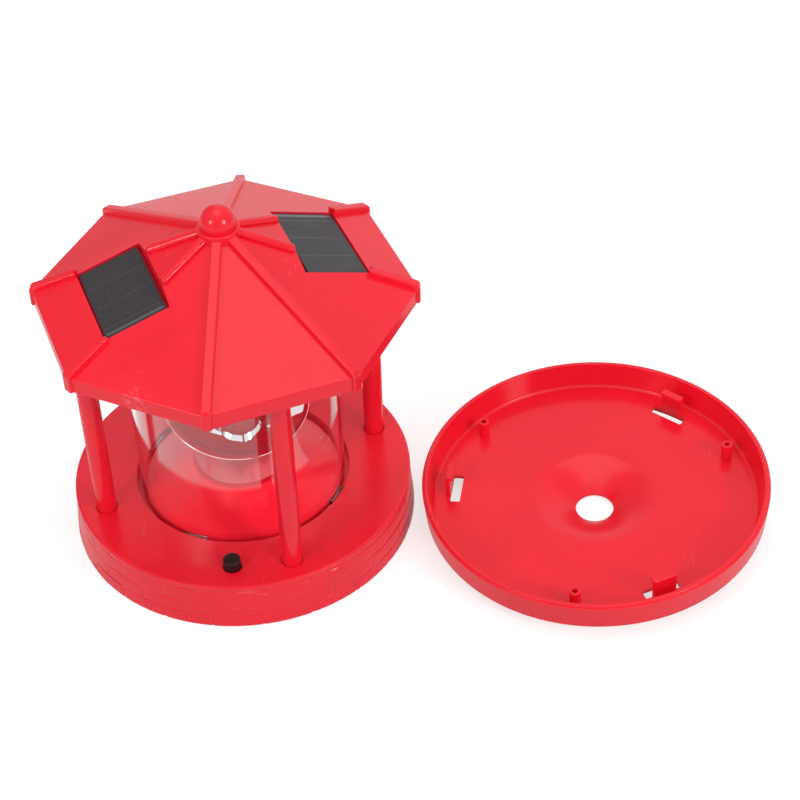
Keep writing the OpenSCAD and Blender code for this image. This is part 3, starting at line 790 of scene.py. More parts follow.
def extruded(name: str, outline: Sequence[Point2], low: float, high: float) -> Piece:
    """Raises a flat outline into a prism.

    Args:
        name: the object's name.
        outline: its points in the XY plane.
        low: height of the lower face.
        high: height of the upper face.

    Returns:
        The closed prism.
    """
    count = len(outline)
    points = [(x, y, low) for x, y in outline] + [(x, y, high) for x, y in outline]
    faces = [list(range(count)), list(range(count, 2 * count))]
    faces += [[i, (i + 1) % count, count + (i + 1) % count, count + i] for i in range(count)]
    return from_faces(name, points, faces)


def brick(name: str, size: Sequence[float], centre: Sequence[float], edge: float = 0.0) -> Piece:
    """A block with rounded edges.

    Args:
        name: the object's name.
        size: its length along X, Y and Z.
        centre: its middle.
        edge: the radius of its edges.

    Returns:
        The block.
    """
    build = bmesh.new()
    bmesh.ops.create_cube(build, size=1.0)
    bmesh.ops.scale(build, vec=Vector(size) * MM, verts=build.verts)
    if edge:
        bmesh.ops.bevel(
            build, geom=build.edges[:], offset=edge * MM, segments=3, profile=0.5, affect="EDGES"
        )
    bmesh.ops.translate(build, vec=Vector(centre) * MM, verts=build.verts)
    mesh = bpy.data.meshes.new(name)
    build.to_mesh(mesh)
    build.free()
    return new_object(name, mesh)


def moved(piece: Piece, matrix: Matrix) -> Piece:
    """Moves a piece's own points, so that its object stays at the origin.

    Args:
        piece: the piece.
        matrix: where it goes, with its shift in millimetres.

    Returns:
        The piece.
    """
    in_metres = matrix.copy()
    in_metres.translation = matrix.translation * MM
    piece.data.transform(in_metres)
    return piece


def shifted(x: float, y: float, z: float) -> Matrix:
    """A shift in millimetres."""
    return Matrix.Translation((x, y, z))


def turned(degrees: float, axis: str = "Z") -> Matrix:
    """A turn about an axis through the origin."""
    return Matrix.Rotation(math.radians(degrees), 4, axis)


def joined(name: str, pieces: Sequence[Piece]) -> Piece:
    """Joins pieces into one object, without fusing their solids.

    Args:
        name: the new object's name.
        pieces: the pieces, which are used up.

    Returns:
        The joined object.
    """
    build = bmesh.new()
    for piece in pieces:
        build.from_mesh(piece.data)
        scrap(piece)
    mesh = bpy.data.meshes.new(name)
    build.to_mesh(mesh)
    build.free()
    return new_object(name, mesh)


def scrap(piece: Piece) -> None:
    """Takes a helper piece out of the file.

    Args:
        piece: the helper piece.
    """
    mesh = piece.data
    bpy.data.objects.remove(piece)
    if not mesh.users:
        bpy.data.meshes.remove(mesh)


def bake_modifiers(piece: Piece) -> None:
    """Turns a piece's modifiers into its mesh.

    Args:
        piece: the piece.
    """
    view = bpy.context.evaluated_depsgraph_get()
    mesh = bpy.data.meshes.new_from_object(piece.evaluated_get(view))
    piece.modifiers.clear()
    old, piece.data = piece.data, mesh
    bpy.data.meshes.remove(old)
    mesh.name = piece.name


def worked(piece: Piece, tool: Piece, how: Carve, crossing: bool = False) -> Piece:
    """Cuts a tool out of a piece or fuses it on.

    Args:
        piece: the piece to work on.
        tool: the tool, which is used up.
        how: cut, fuse, or keep only what both fill.
        crossing: True if the tool's own parts run into each other.

    Returns:
        The piece.
    """
    step = piece.modifiers.new("work", "BOOLEAN")
    step.operation, step.solver, step.object = how.value, "EXACT", tool
    step.use_self = crossing
    bake_modifiers(piece)
    scrap(tool)
    return piece


def eased(piece: Piece, width: float, angle: float = 30.0, segments: int = 3) -> Piece:
    """Eases the sharp edges of a piece.

    Args:
        piece: the piece.
        width: how wide the eased edge is.
        angle: edges sharper than this many degrees are eased.
        segments: how many strips make the edge round.

    Returns:
        The piece.
    """
    step = piece.modifiers.new("ease", "BEVEL")
    step.width, step.segments, step.limit_method = width * MM, segments, "ANGLE"
    step.angle_limit = math.radians(angle)
    bake_modifiers(piece)
    return piece


def smooth(piece: Piece, angle: float = 32.0) -> Piece:
    """Shades a piece smooth, with its flat faces kept flat.

    Args:
        piece: the piece.
        angle: edges sharper than this many degrees stay sharp.

    Returns:
        The piece.
    """
    piece.data.shade_smooth()
    piece.data.set_sharp_from_angle(angle=math.radians(angle))
    weights = piece.modifiers.new("weights", "WEIGHTED_NORMAL")
    weights.keep_sharp = True
    weights.weight = 100
    return piece


def around(count: int, first: float, make: Callable[[int, float], Piece]) -> list[Piece]:
    """Makes pieces at equal steps round the axis.

    Args:
        count: how many.
        first: the first one's angle in degrees.
        make: makes the piece of that number at that angle.

    Returns:
        The pieces.
    """
    return [make(i, first + 360 * i / count) for i in range(count)]


def rod(
    name: str, radius: float, low: float, high: float, x: float = 0.0, y: float = 0.0, segments: int = 64
) -> Piece:
    """An upright round rod.

    Args:
        name: the object's name.
        radius: its radius.
        low: height of its lower end.
        high: height of its upper end.
        x: its axis along X.
        y: its axis along Y.
        segments: how many sides it has.

    Returns:
        The rod.
    """
    made = revolved(name, [(0, low), (radius, low), (radius, high), (0, high)], segments)
    return moved(made, shifted(x, y, 0))


def on_circle(angle: float, radius: float) -> Point2:
    """The point at an angle in degrees and a radius."""
    return radius * math.cos(math.radians(angle)), radius * math.sin(math.radians(angle))


def finish_piece(piece: Piece, material: Material, body: Body, slot: Slot, *nodes: str) -> Piece:
    """Gives a new piece its material, its body and the nodes it stands for.

    Args:
        piece: the piece.
        material: its material.
        body: the body it moves with.
        slot: the slot of its finish; not used.
        nodes: the solids it stands for.

    Returns:
        The piece.
    """
    piece.data.materials.clear()
    piece.data.materials.append(material)
    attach(piece, body.value)
    if nodes:
        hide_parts(*nodes)
    log.info("piece %s on %s, %d faces", piece.name, body.value, len(piece.data.polygons))
    return piece


def dress_node(node: str, material: Material) -> Piece:
    """Gives a solid of the frame a better material.

    Args:
        node: the solid's name.
        material: its material.

    Returns:
        The solid's object.
    """
    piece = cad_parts[node]
    for holder in piece.material_slots:
        holder.material = material
    log.info("node %s wears %s", node, material.name)
    return piece


# ---------------------------------------------------------------- sub-assemblies


@dataclass
class Roof:
    """The eight-sided roof with its ribs, ball and sunk panels."""

    corner_radius: float = 78.6
    first_corner: float = -2.0
    sides: int = 8
    eave: float = 112.7
    fascia: float = 6.6
    rise: float = 30.7
    wall: float = 2.0
    rib_width: float = 4.2
    rib_height: float = 2.1
    rib_reach: float = 0.6
    rib_round: float = 1.8
    rib_root: float = 1.2
    rib_wrap: float = 2.2
    collar_radius: float = 8.6
    collar_top: float = 150.4
    panel_width: float = 43.6
    panel_length: float = 26.0
    panel_thickness: float = 1.8
    panel_slope: float = 16.8
    panel_distance: float = 41.5
    panel_height: float = 130.4
    panel_gap: float = 0.45
    pad: float = 0.6
    tray: float = 1.6
    tray_rise: float = 12.0
    tray_inset: float = 0.3
    bar: float = 1.3
    line: float = 0.14
    fine_line: float = 0.03
    fine_lines: int = 15
    cell_edges: tuple[float, float, float] = (0.28, 0.58, 0.88)

    @property
    def fascia_top(self) -> float:
        """Height of the fascia's upper edge."""
        return self.eave + self.fascia

    @property
    def peak(self) -> float:
        """Height where the eight faces would meet."""
        return self.fascia_top + self.rise

    def panel_turns(self) -> tuple[float, float]:
        """The directions that the two panels face, right one first."""
        face = self.first_corner + 180 / self.sides
        return face, face + 180

    def panel_matrix(self, turn: float) -> Matrix:
        """Where a panel lies, with +Z out of its face."""
        place = shifted(self.panel_distance, 0, self.panel_height)
        return turned(turn) @ place @ turned(self.panel_slope, "Y")

    def form(self, name: str, radius: float, peak: float, bottom: float) -> Piece:
        """The closed eight-sided form with upright sides and eight slopes.

        Args:
            name: the object's name.
            radius: radius to its corners.
            peak: height of its tip.
            bottom: height of its lower face.

        Returns:
            The closed form.
        """
        rim = [on_circle(self.first_corner + 360 * i / self.sides, radius) for i in range(self.sides)]
        points = [(x, y, level) for level in (bottom, self.fascia_top) for x, y in rim]
        points.append((0, 0, peak))
        n = self.sides
        faces: list[list[int]] = [list(range(n))]
        for i in range(n):
            faces.append([i, (i + 1) % n, n + (i + 1) % n, n + i])
            faces.append([n + i, n + (i + 1) % n, 2 * n])
        return from_faces(name, points, faces)

    def rib_lengths(self, number: int) -> list[tuple[float, float]]:
        """Where the lengths of a rib start and end; a panel's pocket parts some ribs.

        Args:
            number: the rib's number, from the first corner.

        Returns:
            The radius of each length's start and end.
        """
        start, tip = self.collar_radius - 2.5, self.corner_radius + self.rib_reach
        if number % (self.sides // 2) > 1:
            return [(start, tip)]
        half = math.radians(180 / self.sides)
        reach = (self.panel_length / 2 + self.panel_gap) * math.cos(math.radians(self.panel_slope))
        stop = (self.panel_distance - reach) / math.cos(half) - self.rib_width / 2 * math.tan(half)
        return [(start, stop), ((self.panel_distance + reach) / math.cos(half), tip)]

    def rib(self, angle: float, start: float, end: float) -> Piece:
        """One length of a rib with round edges, on the corner at an angle.

        Args:
            angle: the corner's direction in degrees.
            start: radius of its start.
            end: radius of its end, which wraps over the fascia where it is past the corner.

        Returns:
            The length.
        """
        fall = self.rise / self.corner_radius
        top = self.peak + self.rib_height / math.cos(math.atan(fall))
        low, inner = self.peak - self.rib_root, self.corner_radius - self.rib_wrap
        corners = [(start, low - fall * start, 0.0), (start, top - fall * start, 0.0)]
        if end > self.corner_radius:
            corners += [
                (end, top - fall * end, 2.4),
                (end, self.eave, 0.9),
                (inner, self.eave, 0.0),
                (inner, self.fascia_top - self.rib_root, 0.0),
            ]
        else:
            corners += [(end, top - fall * end, 0.0), (end, low - fall * end, 0.0)]
        made = extruded("rib", rounded(corners, 5), -self.rib_width / 2, self.rib_width / 2)
        moved(made, turned(90, "X"))
        eased(made, self.rib_round, 40, 4)
        return moved(made, turned(angle))

    def ribs(self) -> list[Piece]:
        """Every length of every rib.

        Returns:
            The lengths, one piece each.
        """
        return [
            self.rib(self.first_corner + 360 * i / self.sides, start, end)
            for i in range(self.sides)
            for start, end in self.rib_lengths(i)
        ]

    def pocket(self, long: float, wide: float, depth: float) -> Piece:
        """The tool of a panel's pocket, whose walls lean out, most on the upper side.

        Args:
            long: length of its floor down the slope.
            wide: width of its floor.
            depth: how deep the floor lies.

        Returns:
            The tool.
        """
        rise, lean, upper = 9.0, 0.10, 0.36
        low = [(-long / 2, -wide / 2), (long / 2, -wide / 2), (long / 2, wide / 2), (-long / 2, wide / 2)]
        high = [
            (x + rise * (lean if x > 0 else -upper), y + rise * math.copysign(lean, y)) for x, y in low
        ]
        points = [(x, y, -depth) for x, y in low] + [(x, y, rise - depth) for x, y in high]
        sides = [[i, (i + 1) % 4, 4 + (i + 1) % 4, 4 + i] for i in range(4)]
        return from_faces("pocket", points, [[0, 1, 2, 3], [4, 5, 6, 7], *sides])

    def moulding(self, finishes: Finishes) -> Piece:
        """The red roof moulding.

        Args:
            finishes: every material, by name.

        Returns:
            The moulding.
        """
        slope = math.atan(self.rise / self.corner_radius)
        inner = self.corner_radius - self.wall / math.cos(math.radians(180 / self.sides))
        inner_peak = self.peak - self.wall / math.cos(slope)
        shell = eased(self.form("roof", self.corner_radius, self.peak, self.eave), 0.5, 50, 3)
        worked(shell, joined("ribs", self.ribs()), Carve.FUSE, crossing=True)
        collar = revolved(
            "collar",
            rounded(
                [(0, inner_peak - 6, 0), (self.collar_radius, inner_peak - 6, 0),
                 (self.collar_radius, self.collar_top, 0.8), (0, self.collar_top, 0)]
            ),
            96,
        )
        worked(shell, collar, Carve.FUSE)
        worked(shell, self.form("hollow", inner, inner_peak, self.eave - 1), Carve.CUT)
        depth = self.panel_thickness + self.pad
        wide, long = self.panel_width + 2 * self.panel_gap, self.panel_length + 2 * self.panel_gap
        for turn in self.panel_turns():
            place = self.panel_matrix(turn)
            size = (long + 2 * self.tray, wide + 2 * self.tray, self.tray_rise)
            middle = (0, 0, self.tray_rise / 2 - depth - self.tray)
            tray = moved(brick("tray", size, middle), place)
            inside = self.form(
                "inside", self.corner_radius - self.tray_inset, self.peak - self.tray_inset, self.eave
            )
            worked(tray, inside, Carve.KEEP)
            worked(shell, tray, Carve.FUSE)
            worked(shell, moved(self.pocket(long, wide, depth), place), Carve.CUT)
        smooth(shell, 28)
        shell.name = "roof_moulding"
        return finish_piece(shell, finishes.roof, Body.LANTERN, Slot.RED, "roof_shell")

    def panel(self, turn: float, label: str, finishes: Finishes) -> list[Piece]:
        """One solar panel: its board, its cells and their thin silver lines.

        Args:
            turn: the direction it faces, in degrees.
            label: right or left.
            finishes: every material, by name.

        Returns:
            The panel's body and its lines.
        """
        place = self.panel_matrix(turn)
        body = brick(
            f"panel_{label}_resin",
            (self.panel_length, self.panel_width, self.panel_thickness),
            (0, 0, -self.panel_thickness / 2),
            0.2,
        )
        smooth(moved(body, place))
        finish_piece(body, finishes.cells, Body.LANTERN, Slot.SOLAR, f"solar_panel_{label}")
        long, edge = self.panel_length - 1.6, -self.panel_width / 2
        strips = [
            brick("strip", (long, self.line, 0.02), (0, edge + share * self.panel_width, 0))
            for share in self.cell_edges
        ]
        for i in range(1, self.fine_lines + 1):
            across = edge + self.panel_width * i / (self.fine_lines + 1)
            strips.append(brick("strip", (long - 0.8, self.fine_line, 0.02), (0, across, 0)))
        strips.append(brick("strip", (long, self.bar, 0.03), (0, -edge - self.bar - 0.4, 0)))
        lines = moved(joined(f"panel_{label}_lines", strips), place)
        finish_piece(lines, finishes.grid, Body.LANTERN, Slot.STEEL)
        return [body, lines]

    def build(self, finishes: Finishes) -> None:
        """Builds the roof and what sits on it.

        Args:
            finishes: every material, by name.
        """
        self.moulding(finishes)
        right, left = self.panel_turns()
        self.panel(right, "right", finishes)
        self.panel(left, "left", finishes)
        dress_node("finial", finishes.red)
        dress_node("panel_pads", finishes.foam)
        dress_node("ceiling_plate", finishes.red)
        dress_node("ceiling_screws", finishes.steel)


@dataclass
class BrickBase:
    """The round base with its brick pattern, its deck and the well of the tube."""

    radius: float = 75.0
    top_radius: float = 73.4
    wall_top: float = 19.6
    height: float = 21.2
    deck_radius: float = 72.4
    deck: float = 2.4
    wall: float = 2.4
    opening: float = 46.6
    ledge: float = 17.0
    ledge_inner: float = 38.0
    well_wall: float = 2.2
    courses: tuple[float, float, float] = (5.6, 11.9, 18.5)
    bricks: int = 22
    joint_width: float = 0.9
    joint_depth: float = 0.55
    post_turn: float = 21.8
    post_circle: float = 62.0
    post_hole: float = 4.43
    post_foot: float = 9.0
    recess_radius: float = 4.85
    recess_depth: float = 0.9
    screw_turn: float = 65.0
    screw_circle: float = 66.0
    switch_turn: float = 268.4
    switch_circle: float = 60.6
    switch_hole: float = 4.1
    socket_radius: float = 6.2
    boss_radius: float = 4.0
    boss_foot: float = 2.4
    under_deck: float = 1.2
    brick_stand: float = 0.12
    coarse_skin: float = 0.05
    fine_skin: float = 0.04
    joint_reach: float = 1.6
    joint_lines: tuple[float, ...] = (-1.6, -1.0, -0.5, 0.0, 0.5, 1.0, 1.6)

    def wall_radius(self, height: float) -> float:
        """The wall's radius at a height, without its bricks."""
        return self.radius + (self.top_radius - self.radius) * height / self.wall_top

    def columns(self) -> list[float]:
        """Angles of the mesh's columns, close together at the joints.

        Returns:
            The angles in degrees.
        """
        step = 180 / self.bricks
        half = math.degrees(self.joint_width / 2 / self.radius)
        near = [half * k for k in self.joint_lines]
        reach = self.joint_reach * half
        far = [reach + (step - 2 * reach) * k / 6 for k in range(1, 6)]
        return [i * step + offset for i in range(2 * self.bricks) for offset in near + far]

    def rows(self) -> list[float]:
        """Heights of the wall's rows, close together at the joints.

        Returns:
            The heights in millimetres, from the foot up.
        """
        half = self.joint_width / 2
        heights = [0.0, 0.25, 0.6]
        for level in self.courses:
            heights += [level + half * k for k in self.joint_lines]
        for low, high in zip((0.6, *self.courses), (*self.courses, self.wall_top)):
            span = high - low
            if span > 3:
                heights += [low + span * k / 6 for k in range(1, 6)]
        return sorted(h for h in set(heights) if h < self.wall_top - 0.1)

    def relief(self, angle: float, height: float) -> float:
        """How far the wall stands back at an angle and a height.

        Args:
            angle: in degrees.
            height: in millimetres.

        Returns:
            The depth in millimetres.
        """
        half = self.joint_width / 2
        course = sum(height > level for level in self.courses)
        across = min(abs(height - level) for level in self.courses)
        step = 360 / self.bricks
        offset = (course % 2) * step / 2
        place = (angle - offset) / step
        beside = abs(place - round(place)) * step * math.radians(1) * self.radius
        if course == len(self.courses):
            beside = half * 4
        dip = max(self._dip(across, half), self._dip(beside, half))
        spot = Vector((math.cos(math.radians(angle)), math.sin(math.radians(angle)), height / 40))
        wobble = 0.75 + 0.5 * noise.noise(spot * 9)
        each = noise.noise(Vector((math.floor(place) * 3.7, course * 5.1, 0.5)))
        skin = self.coarse_skin * (1 + noise.noise(spot * 40))
        skin += self.fine_skin * (1 + noise.noise(spot * 130))
        stand = self.brick_stand * (1 + each) if course < len(self.courses) else self.coarse_skin
        return dip * self.joint_depth * wobble + (1 - dip) * (stand + skin)

    def _dip(self, distance: float, half: float) -> float:
        """A soft groove: 1 in its middle and 0 outside it.

        Args:
            distance: how far the groove's middle is.
            half: half the groove's width.

        Returns:
            How deep the groove is there, from 0 to 1.
        """
        t = max(0.0, min(1.0, self.joint_reach - distance / half))
        return t * t * (3 - 2 * t)

    def outline(self) -> list[Point2]:
        """The rest of the base's outline, from the wall's top round to its foot inside.

        Returns:
            Radius and height of each point.
        """
        under = self.height - self.deck
        inner_top, inner_low = self.top_radius - self.wall, self.radius - self.wall - 1
        return rounded(
            [
                (self.top_radius, self.wall_top, 0),
                (self.top_radius - 0.15, self.height - 0.4, 0.35),
                (self.deck_radius - 0.2, self.height, 0.7),
                (self.opening, self.height, 0.35),
                (self.opening, self.ledge, 0),
                (self.ledge_inner, self.ledge, 0.3),
                (self.ledge_inner, self.ledge - 2, 0),
                (self.opening + self.well_wall, self.ledge - 2, 0),
                (self.opening + self.well_wall, under, 0),
                (inner_top, under, 0),
                (inner_low, 0, 0),
            ],
            4,
        )

    def body(self) -> Piece:
        """The brick wall, the deck and the well as one closed mesh.

        Returns:
            The body.
        """
        columns, rows, rest = self.columns(), self.rows(), self.outline()
        points = [
            (*on_circle(angle, self.wall_radius(height) - self.relief(angle, height)), height)
            for height in rows
            for angle in columns
        ]
        points += [(*on_circle(angle, radius), height) for radius, height in rest for angle in columns]
        rings, count = len(rows) + len(rest), len(columns)
        faces = []
        for i in range(rings):
            low, high = i * count, (i + 1) % rings * count
            for k in range(count):
                n = (k + 1) % count
                faces.append([low + k, low + n, high + n, high + k])
        return from_faces("brick_base", points, faces)

    def fitted(self, base: Piece) -> Piece:
        """Gives the body its sockets and screw bosses, and drills its holes.

        Args:
            base: the body.

        Returns:
            The same body, fitted out.
        """
        sockets, holes, recesses = [], [], []
        end, above = self.height - self.under_deck, self.height + OVERRUN
        rim = self.height - self.recess_depth
        for i in range(4):
            x, y = on_circle(self.post_turn + 90 * i, self.post_circle)
            sockets.append(rod("socket", self.socket_radius, self.post_foot - 2, end, x, y))
            holes.append(rod("hole", self.post_hole, self.post_foot, above, x, y))
            recesses.append(rod("recess", self.recess_radius, rim, above, x, y))
            x, y = on_circle(self.screw_turn + 90 * i, self.screw_circle)
            sockets.append(rod("boss", self.boss_radius, self.boss_foot, end, x, y))
        x, y = on_circle(self.switch_turn, self.switch_circle)
        holes.append(rod("hole", self.switch_hole, self.height - self.deck - OVERRUN, above, x, y))
        worked(base, joined("sockets", sockets), Carve.FUSE)
        worked(base, joined("holes", holes), Carve.CUT)
        worked(base, joined("recesses", recesses), Carve.CUT)
        return smooth(base, 40)

    def build(self, finishes: Finishes) -> None:
        """Builds the base and dresses what is hidden in it.

        Args:
            finishes: every material, by name.
        """
        base = self.fitted(self.body())
        finish_piece(base, finishes.bricks, Body.LANTERN, Slot.RED, "base_housing")
        for node, material in (
            ("bottom_cover", finishes.red),
            ("battery_door", finishes.red),
            ("cover_screws", finishes.steel),
            ("post_screws", finishes.steel),
            ("battery", finishes.wrap),
            ("battery_contacts", finishes.steel),
            ("circuit_board", finishes.board),
            ("board_parts", finishes.black),
            ("switch_body", finishes.black),
            ("motor", finishes.steel),
            ("motor_pinion", finishes.steel),
            ("drive_gear", finishes.white),
        ):
            dress_node(node, material)


@dataclass
class LampHouse:
    """The clear tube, the dome in it, the turning beacon and the lamp above it."""

    tube_radius: float = 44.6
    tube_wall: float = 1.6
    tube_low: float = 17.0
    tube_top: float = 111.4
    lug_turn: float = 66.0
    lug_length: float = 11.0
    lug_reach: float = 1.5
    lug_root: float = 1.2
    lug_height: float = 2.6
    drum_radius: float = 20.0
    drum_low: float = 29.8
    drum_height: float = 16.0
    bowl_radius: float = 30.0
    bowl_depth: float = 14.5
    bowl_height: float = 63.7
    bowl_tilt: float = 20.8
    bowl_turn: float = -73.0
    bowl_wall: float = 1.2
    bowl_flange: float = 1.4
    neck_radius: float = 9.0
    neck_depth: float = 3.0
    spindle_radius: float = 2.5
    spindle_foot: float = 18.4
    facets: int = 14
    rings: int = 3
    shell_steps: int = 16

    def tube(self, finishes: Finishes) -> None:
        """The clear tube with its four lugs.

        Args:
            finishes: every material, by name.
        """
        inner = self.tube_radius - self.tube_wall
        wall = rounded(
            [
                (inner, self.tube_low, 0.3),
                (self.tube_radius, self.tube_low, 0.3),
                (self.tube_radius, self.tube_top, 0.3),
                (inner, self.tube_top, 0.3),
            ],
            3,
        )
        tube = revolved("clear_shade", wall, 256)
        reach = self.lug_reach - self.lug_length**2 / (8 * self.tube_radius)
        size = (reach + self.lug_root, self.lug_length, self.lug_height)
        out = self.tube_radius - self.lug_root + size[0] / 2
        middle = (out, 0, self.tube_low + 1 + self.lug_height / 2)
        lugs = around(
            4, self.lug_turn, lambda _, angle: moved(brick("lug", size, middle, 0.35), turned(angle))
        )
        worked(tube, joined("lugs", lugs), Carve.FUSE)
        smooth(tube, 30)
        finish_piece(tube, finishes.clear, Body.LANTERN, Slot.CLEAR, "clear_tube")

    def drum(self, finishes: Finishes) -> None:
        """The silver drum with its spindle.

        Args:
            finishes: every material, by name.
        """
        top = self.drum_low + self.drum_height
        outline = rounded(
            [
                (0, self.spindle_foot, 0),
                (self.spindle_radius, self.spindle_foot, 0.2),
                (self.spindle_radius, self.drum_low, 0),
                (self.drum_radius, self.drum_low, 0.5),
                (self.drum_radius, top, 0.6),
                (self.neck_radius + 0.1, top, 0),
                (self.neck_radius + 0.1, top - self.neck_depth, 0),
                (0, top - self.neck_depth, 0),
            ],
            4,
        )
        drum = smooth(revolved("beacon_drum", outline, 160))
        finish_piece(drum, finishes.drum, Body.BEACON, Slot.SILVER, "drum")

    def arc(self, wall: float, steps: int, squeeze: float = 1.0) -> list[Point2]:
        """The bowl's curve from its middle to its rim.

        Args:
            wall: how far the curve lies outside the mirror.
            steps: how many steps it has.
            squeeze: how much narrower it is.

        Returns:
            The radius and height of each point.
        """
        ball = (self.bowl_radius**2 + self.bowl_depth**2) / (2 * self.bowl_depth)
        span = math.asin(self.bowl_radius / ball)
        radius, centre = ball + wall, ball - self.bowl_depth
        angles = [span * i / steps for i in range(steps + 1)]
        return [(radius * math.sin(a) * squeeze, centre - radius * math.cos(a)) for a in angles]

    def bowl(self, finishes: Finishes) -> None:
        """The mirror bowl with its flat facets, on its neck.

        Args:
            finishes: every material, by name.
        """
        flange, over = self.bowl_radius + self.bowl_flange, 3.0
        shell = self.arc(self.bowl_wall, self.shell_steps, 0.985)
        shell += rounded([(flange, -0.7, 0.2), (flange, 0.15, 0.3), (0, 0.15, 0)], 3)
        cavity = self.arc(0.0, self.rings) + [(self.bowl_radius, over), (0.0, over)]
        bowl = revolved("beacon_mirror", shell, 128)
        worked(bowl, revolved("cavity", cavity, self.facets), Carve.CUT)
        for face in bowl.data.polygons:
            inwards = face.normal.x * face.center.x + face.normal.y * face.center.y < 0
            face.use_smooth = not (inwards and face.normal.z > 0.05)
        place = shifted(0, 0, self.bowl_height) @ turned(self.bowl_tilt, "Y")
        moved(bowl, turned(self.bowl_turn) @ place)
        low = self.drum_low + self.drum_height - self.neck_depth
        high = self.bowl_height - self.bowl_depth + self.bowl_wall
        neck = rod("neck", self.neck_radius - 0.05, low, high)
        neck.data.shade_smooth()
        worked(bowl, neck, Carve.FUSE)
        bowl.data.set_sharp_from_angle(angle=math.radians(35))
        finish_piece(bowl, finishes.mirror, Body.BEACON, Slot.MIRROR, "reflector")

    def build(self, finishes: Finishes) -> None:
        """Builds the lamp house.

        Args:
            finishes: every material, by name.
        """
        self.tube(finishes)
        self.drum(finishes)
        self.bowl(finishes)
        dress_node("lamp_floor", finishes.red)
        dress_node("tube_seal", finishes.seal)
        dress_node("led_holder", finishes.grey)
        dress_node("led", finishes.resin)


@dataclass
class Posts:
    """The four posts between deck and roof."""

    sides: tuple[str, ...] = ("right", "back", "left", "front")
    radius: float = 4.35
    foot: float = 9.0
    top: float = 113.3
    first_turn: float = 21.8
    circle: float = 62.0
    screw_radius: float = 1.3
    screw_depth: float = 14.0

    def build(self, finishes: Finishes) -> None:
        """Builds the posts, each with the screw hole in its foot.

        Args:
            finishes: every material, by name.
        """
        outline = rounded(
            [
                (0, self.foot + self.screw_depth, 0),
                (self.screw_radius, self.foot + self.screw_depth, 0),
                (self.screw_radius, self.foot, 0),
                (self.radius, self.foot, 0.4),
                (self.radius, self.top, 0.4),
                (0, self.top, 0),
            ],
            4,
        )
        for i, side in enumerate(self.sides):
            post = smooth(revolved(f"round_post_{side}", outline, 72))
            moved(post, shifted(*on_circle(self.first_turn + 90 * i, self.circle), 0))
            finish_piece(post, finishes.red, Body.LANTERN, Slot.RED, f"post_{side}")


@dataclass
class PushButton:
    """The black button of the push switch."""

    turn: float = 268.4
    circle: float = 60.6
    radius: float = 3.7
    foot: float = 14.4
    top: float = 25.8
    groove: float = 0.35
    groove_depth: float = 0.3
    groove_drop: float = 2.3
    ease: float = 0.1

    def build(self, finishes: Finishes) -> None:
        """Builds the button with its eased top and its groove.

        Args:
            finishes: every material, by name.
        """
        low = self.top - self.groove_drop
        inner, ease = self.radius - self.groove_depth, self.ease
        outline = rounded(
            [
                (0, self.foot, 0),
                (self.radius, self.foot, 0),
                (self.radius, low, 0),
                (inner, low + ease, ease),
                (inner, low + ease + self.groove, ease),
                (self.radius, low + self.groove + 2 * ease, 0),
                (self.radius, self.top, 1.2),
                (0, self.top, 0),
            ],
            5,
        )
        button = smooth(revolved("button_cap", outline, 96), 40)
        moved(button, shifted(*on_circle(self.turn, self.circle), 0))
        finish_piece(button, finishes.button, Body.BUTTON, Slot.BLACK, "switch_button")


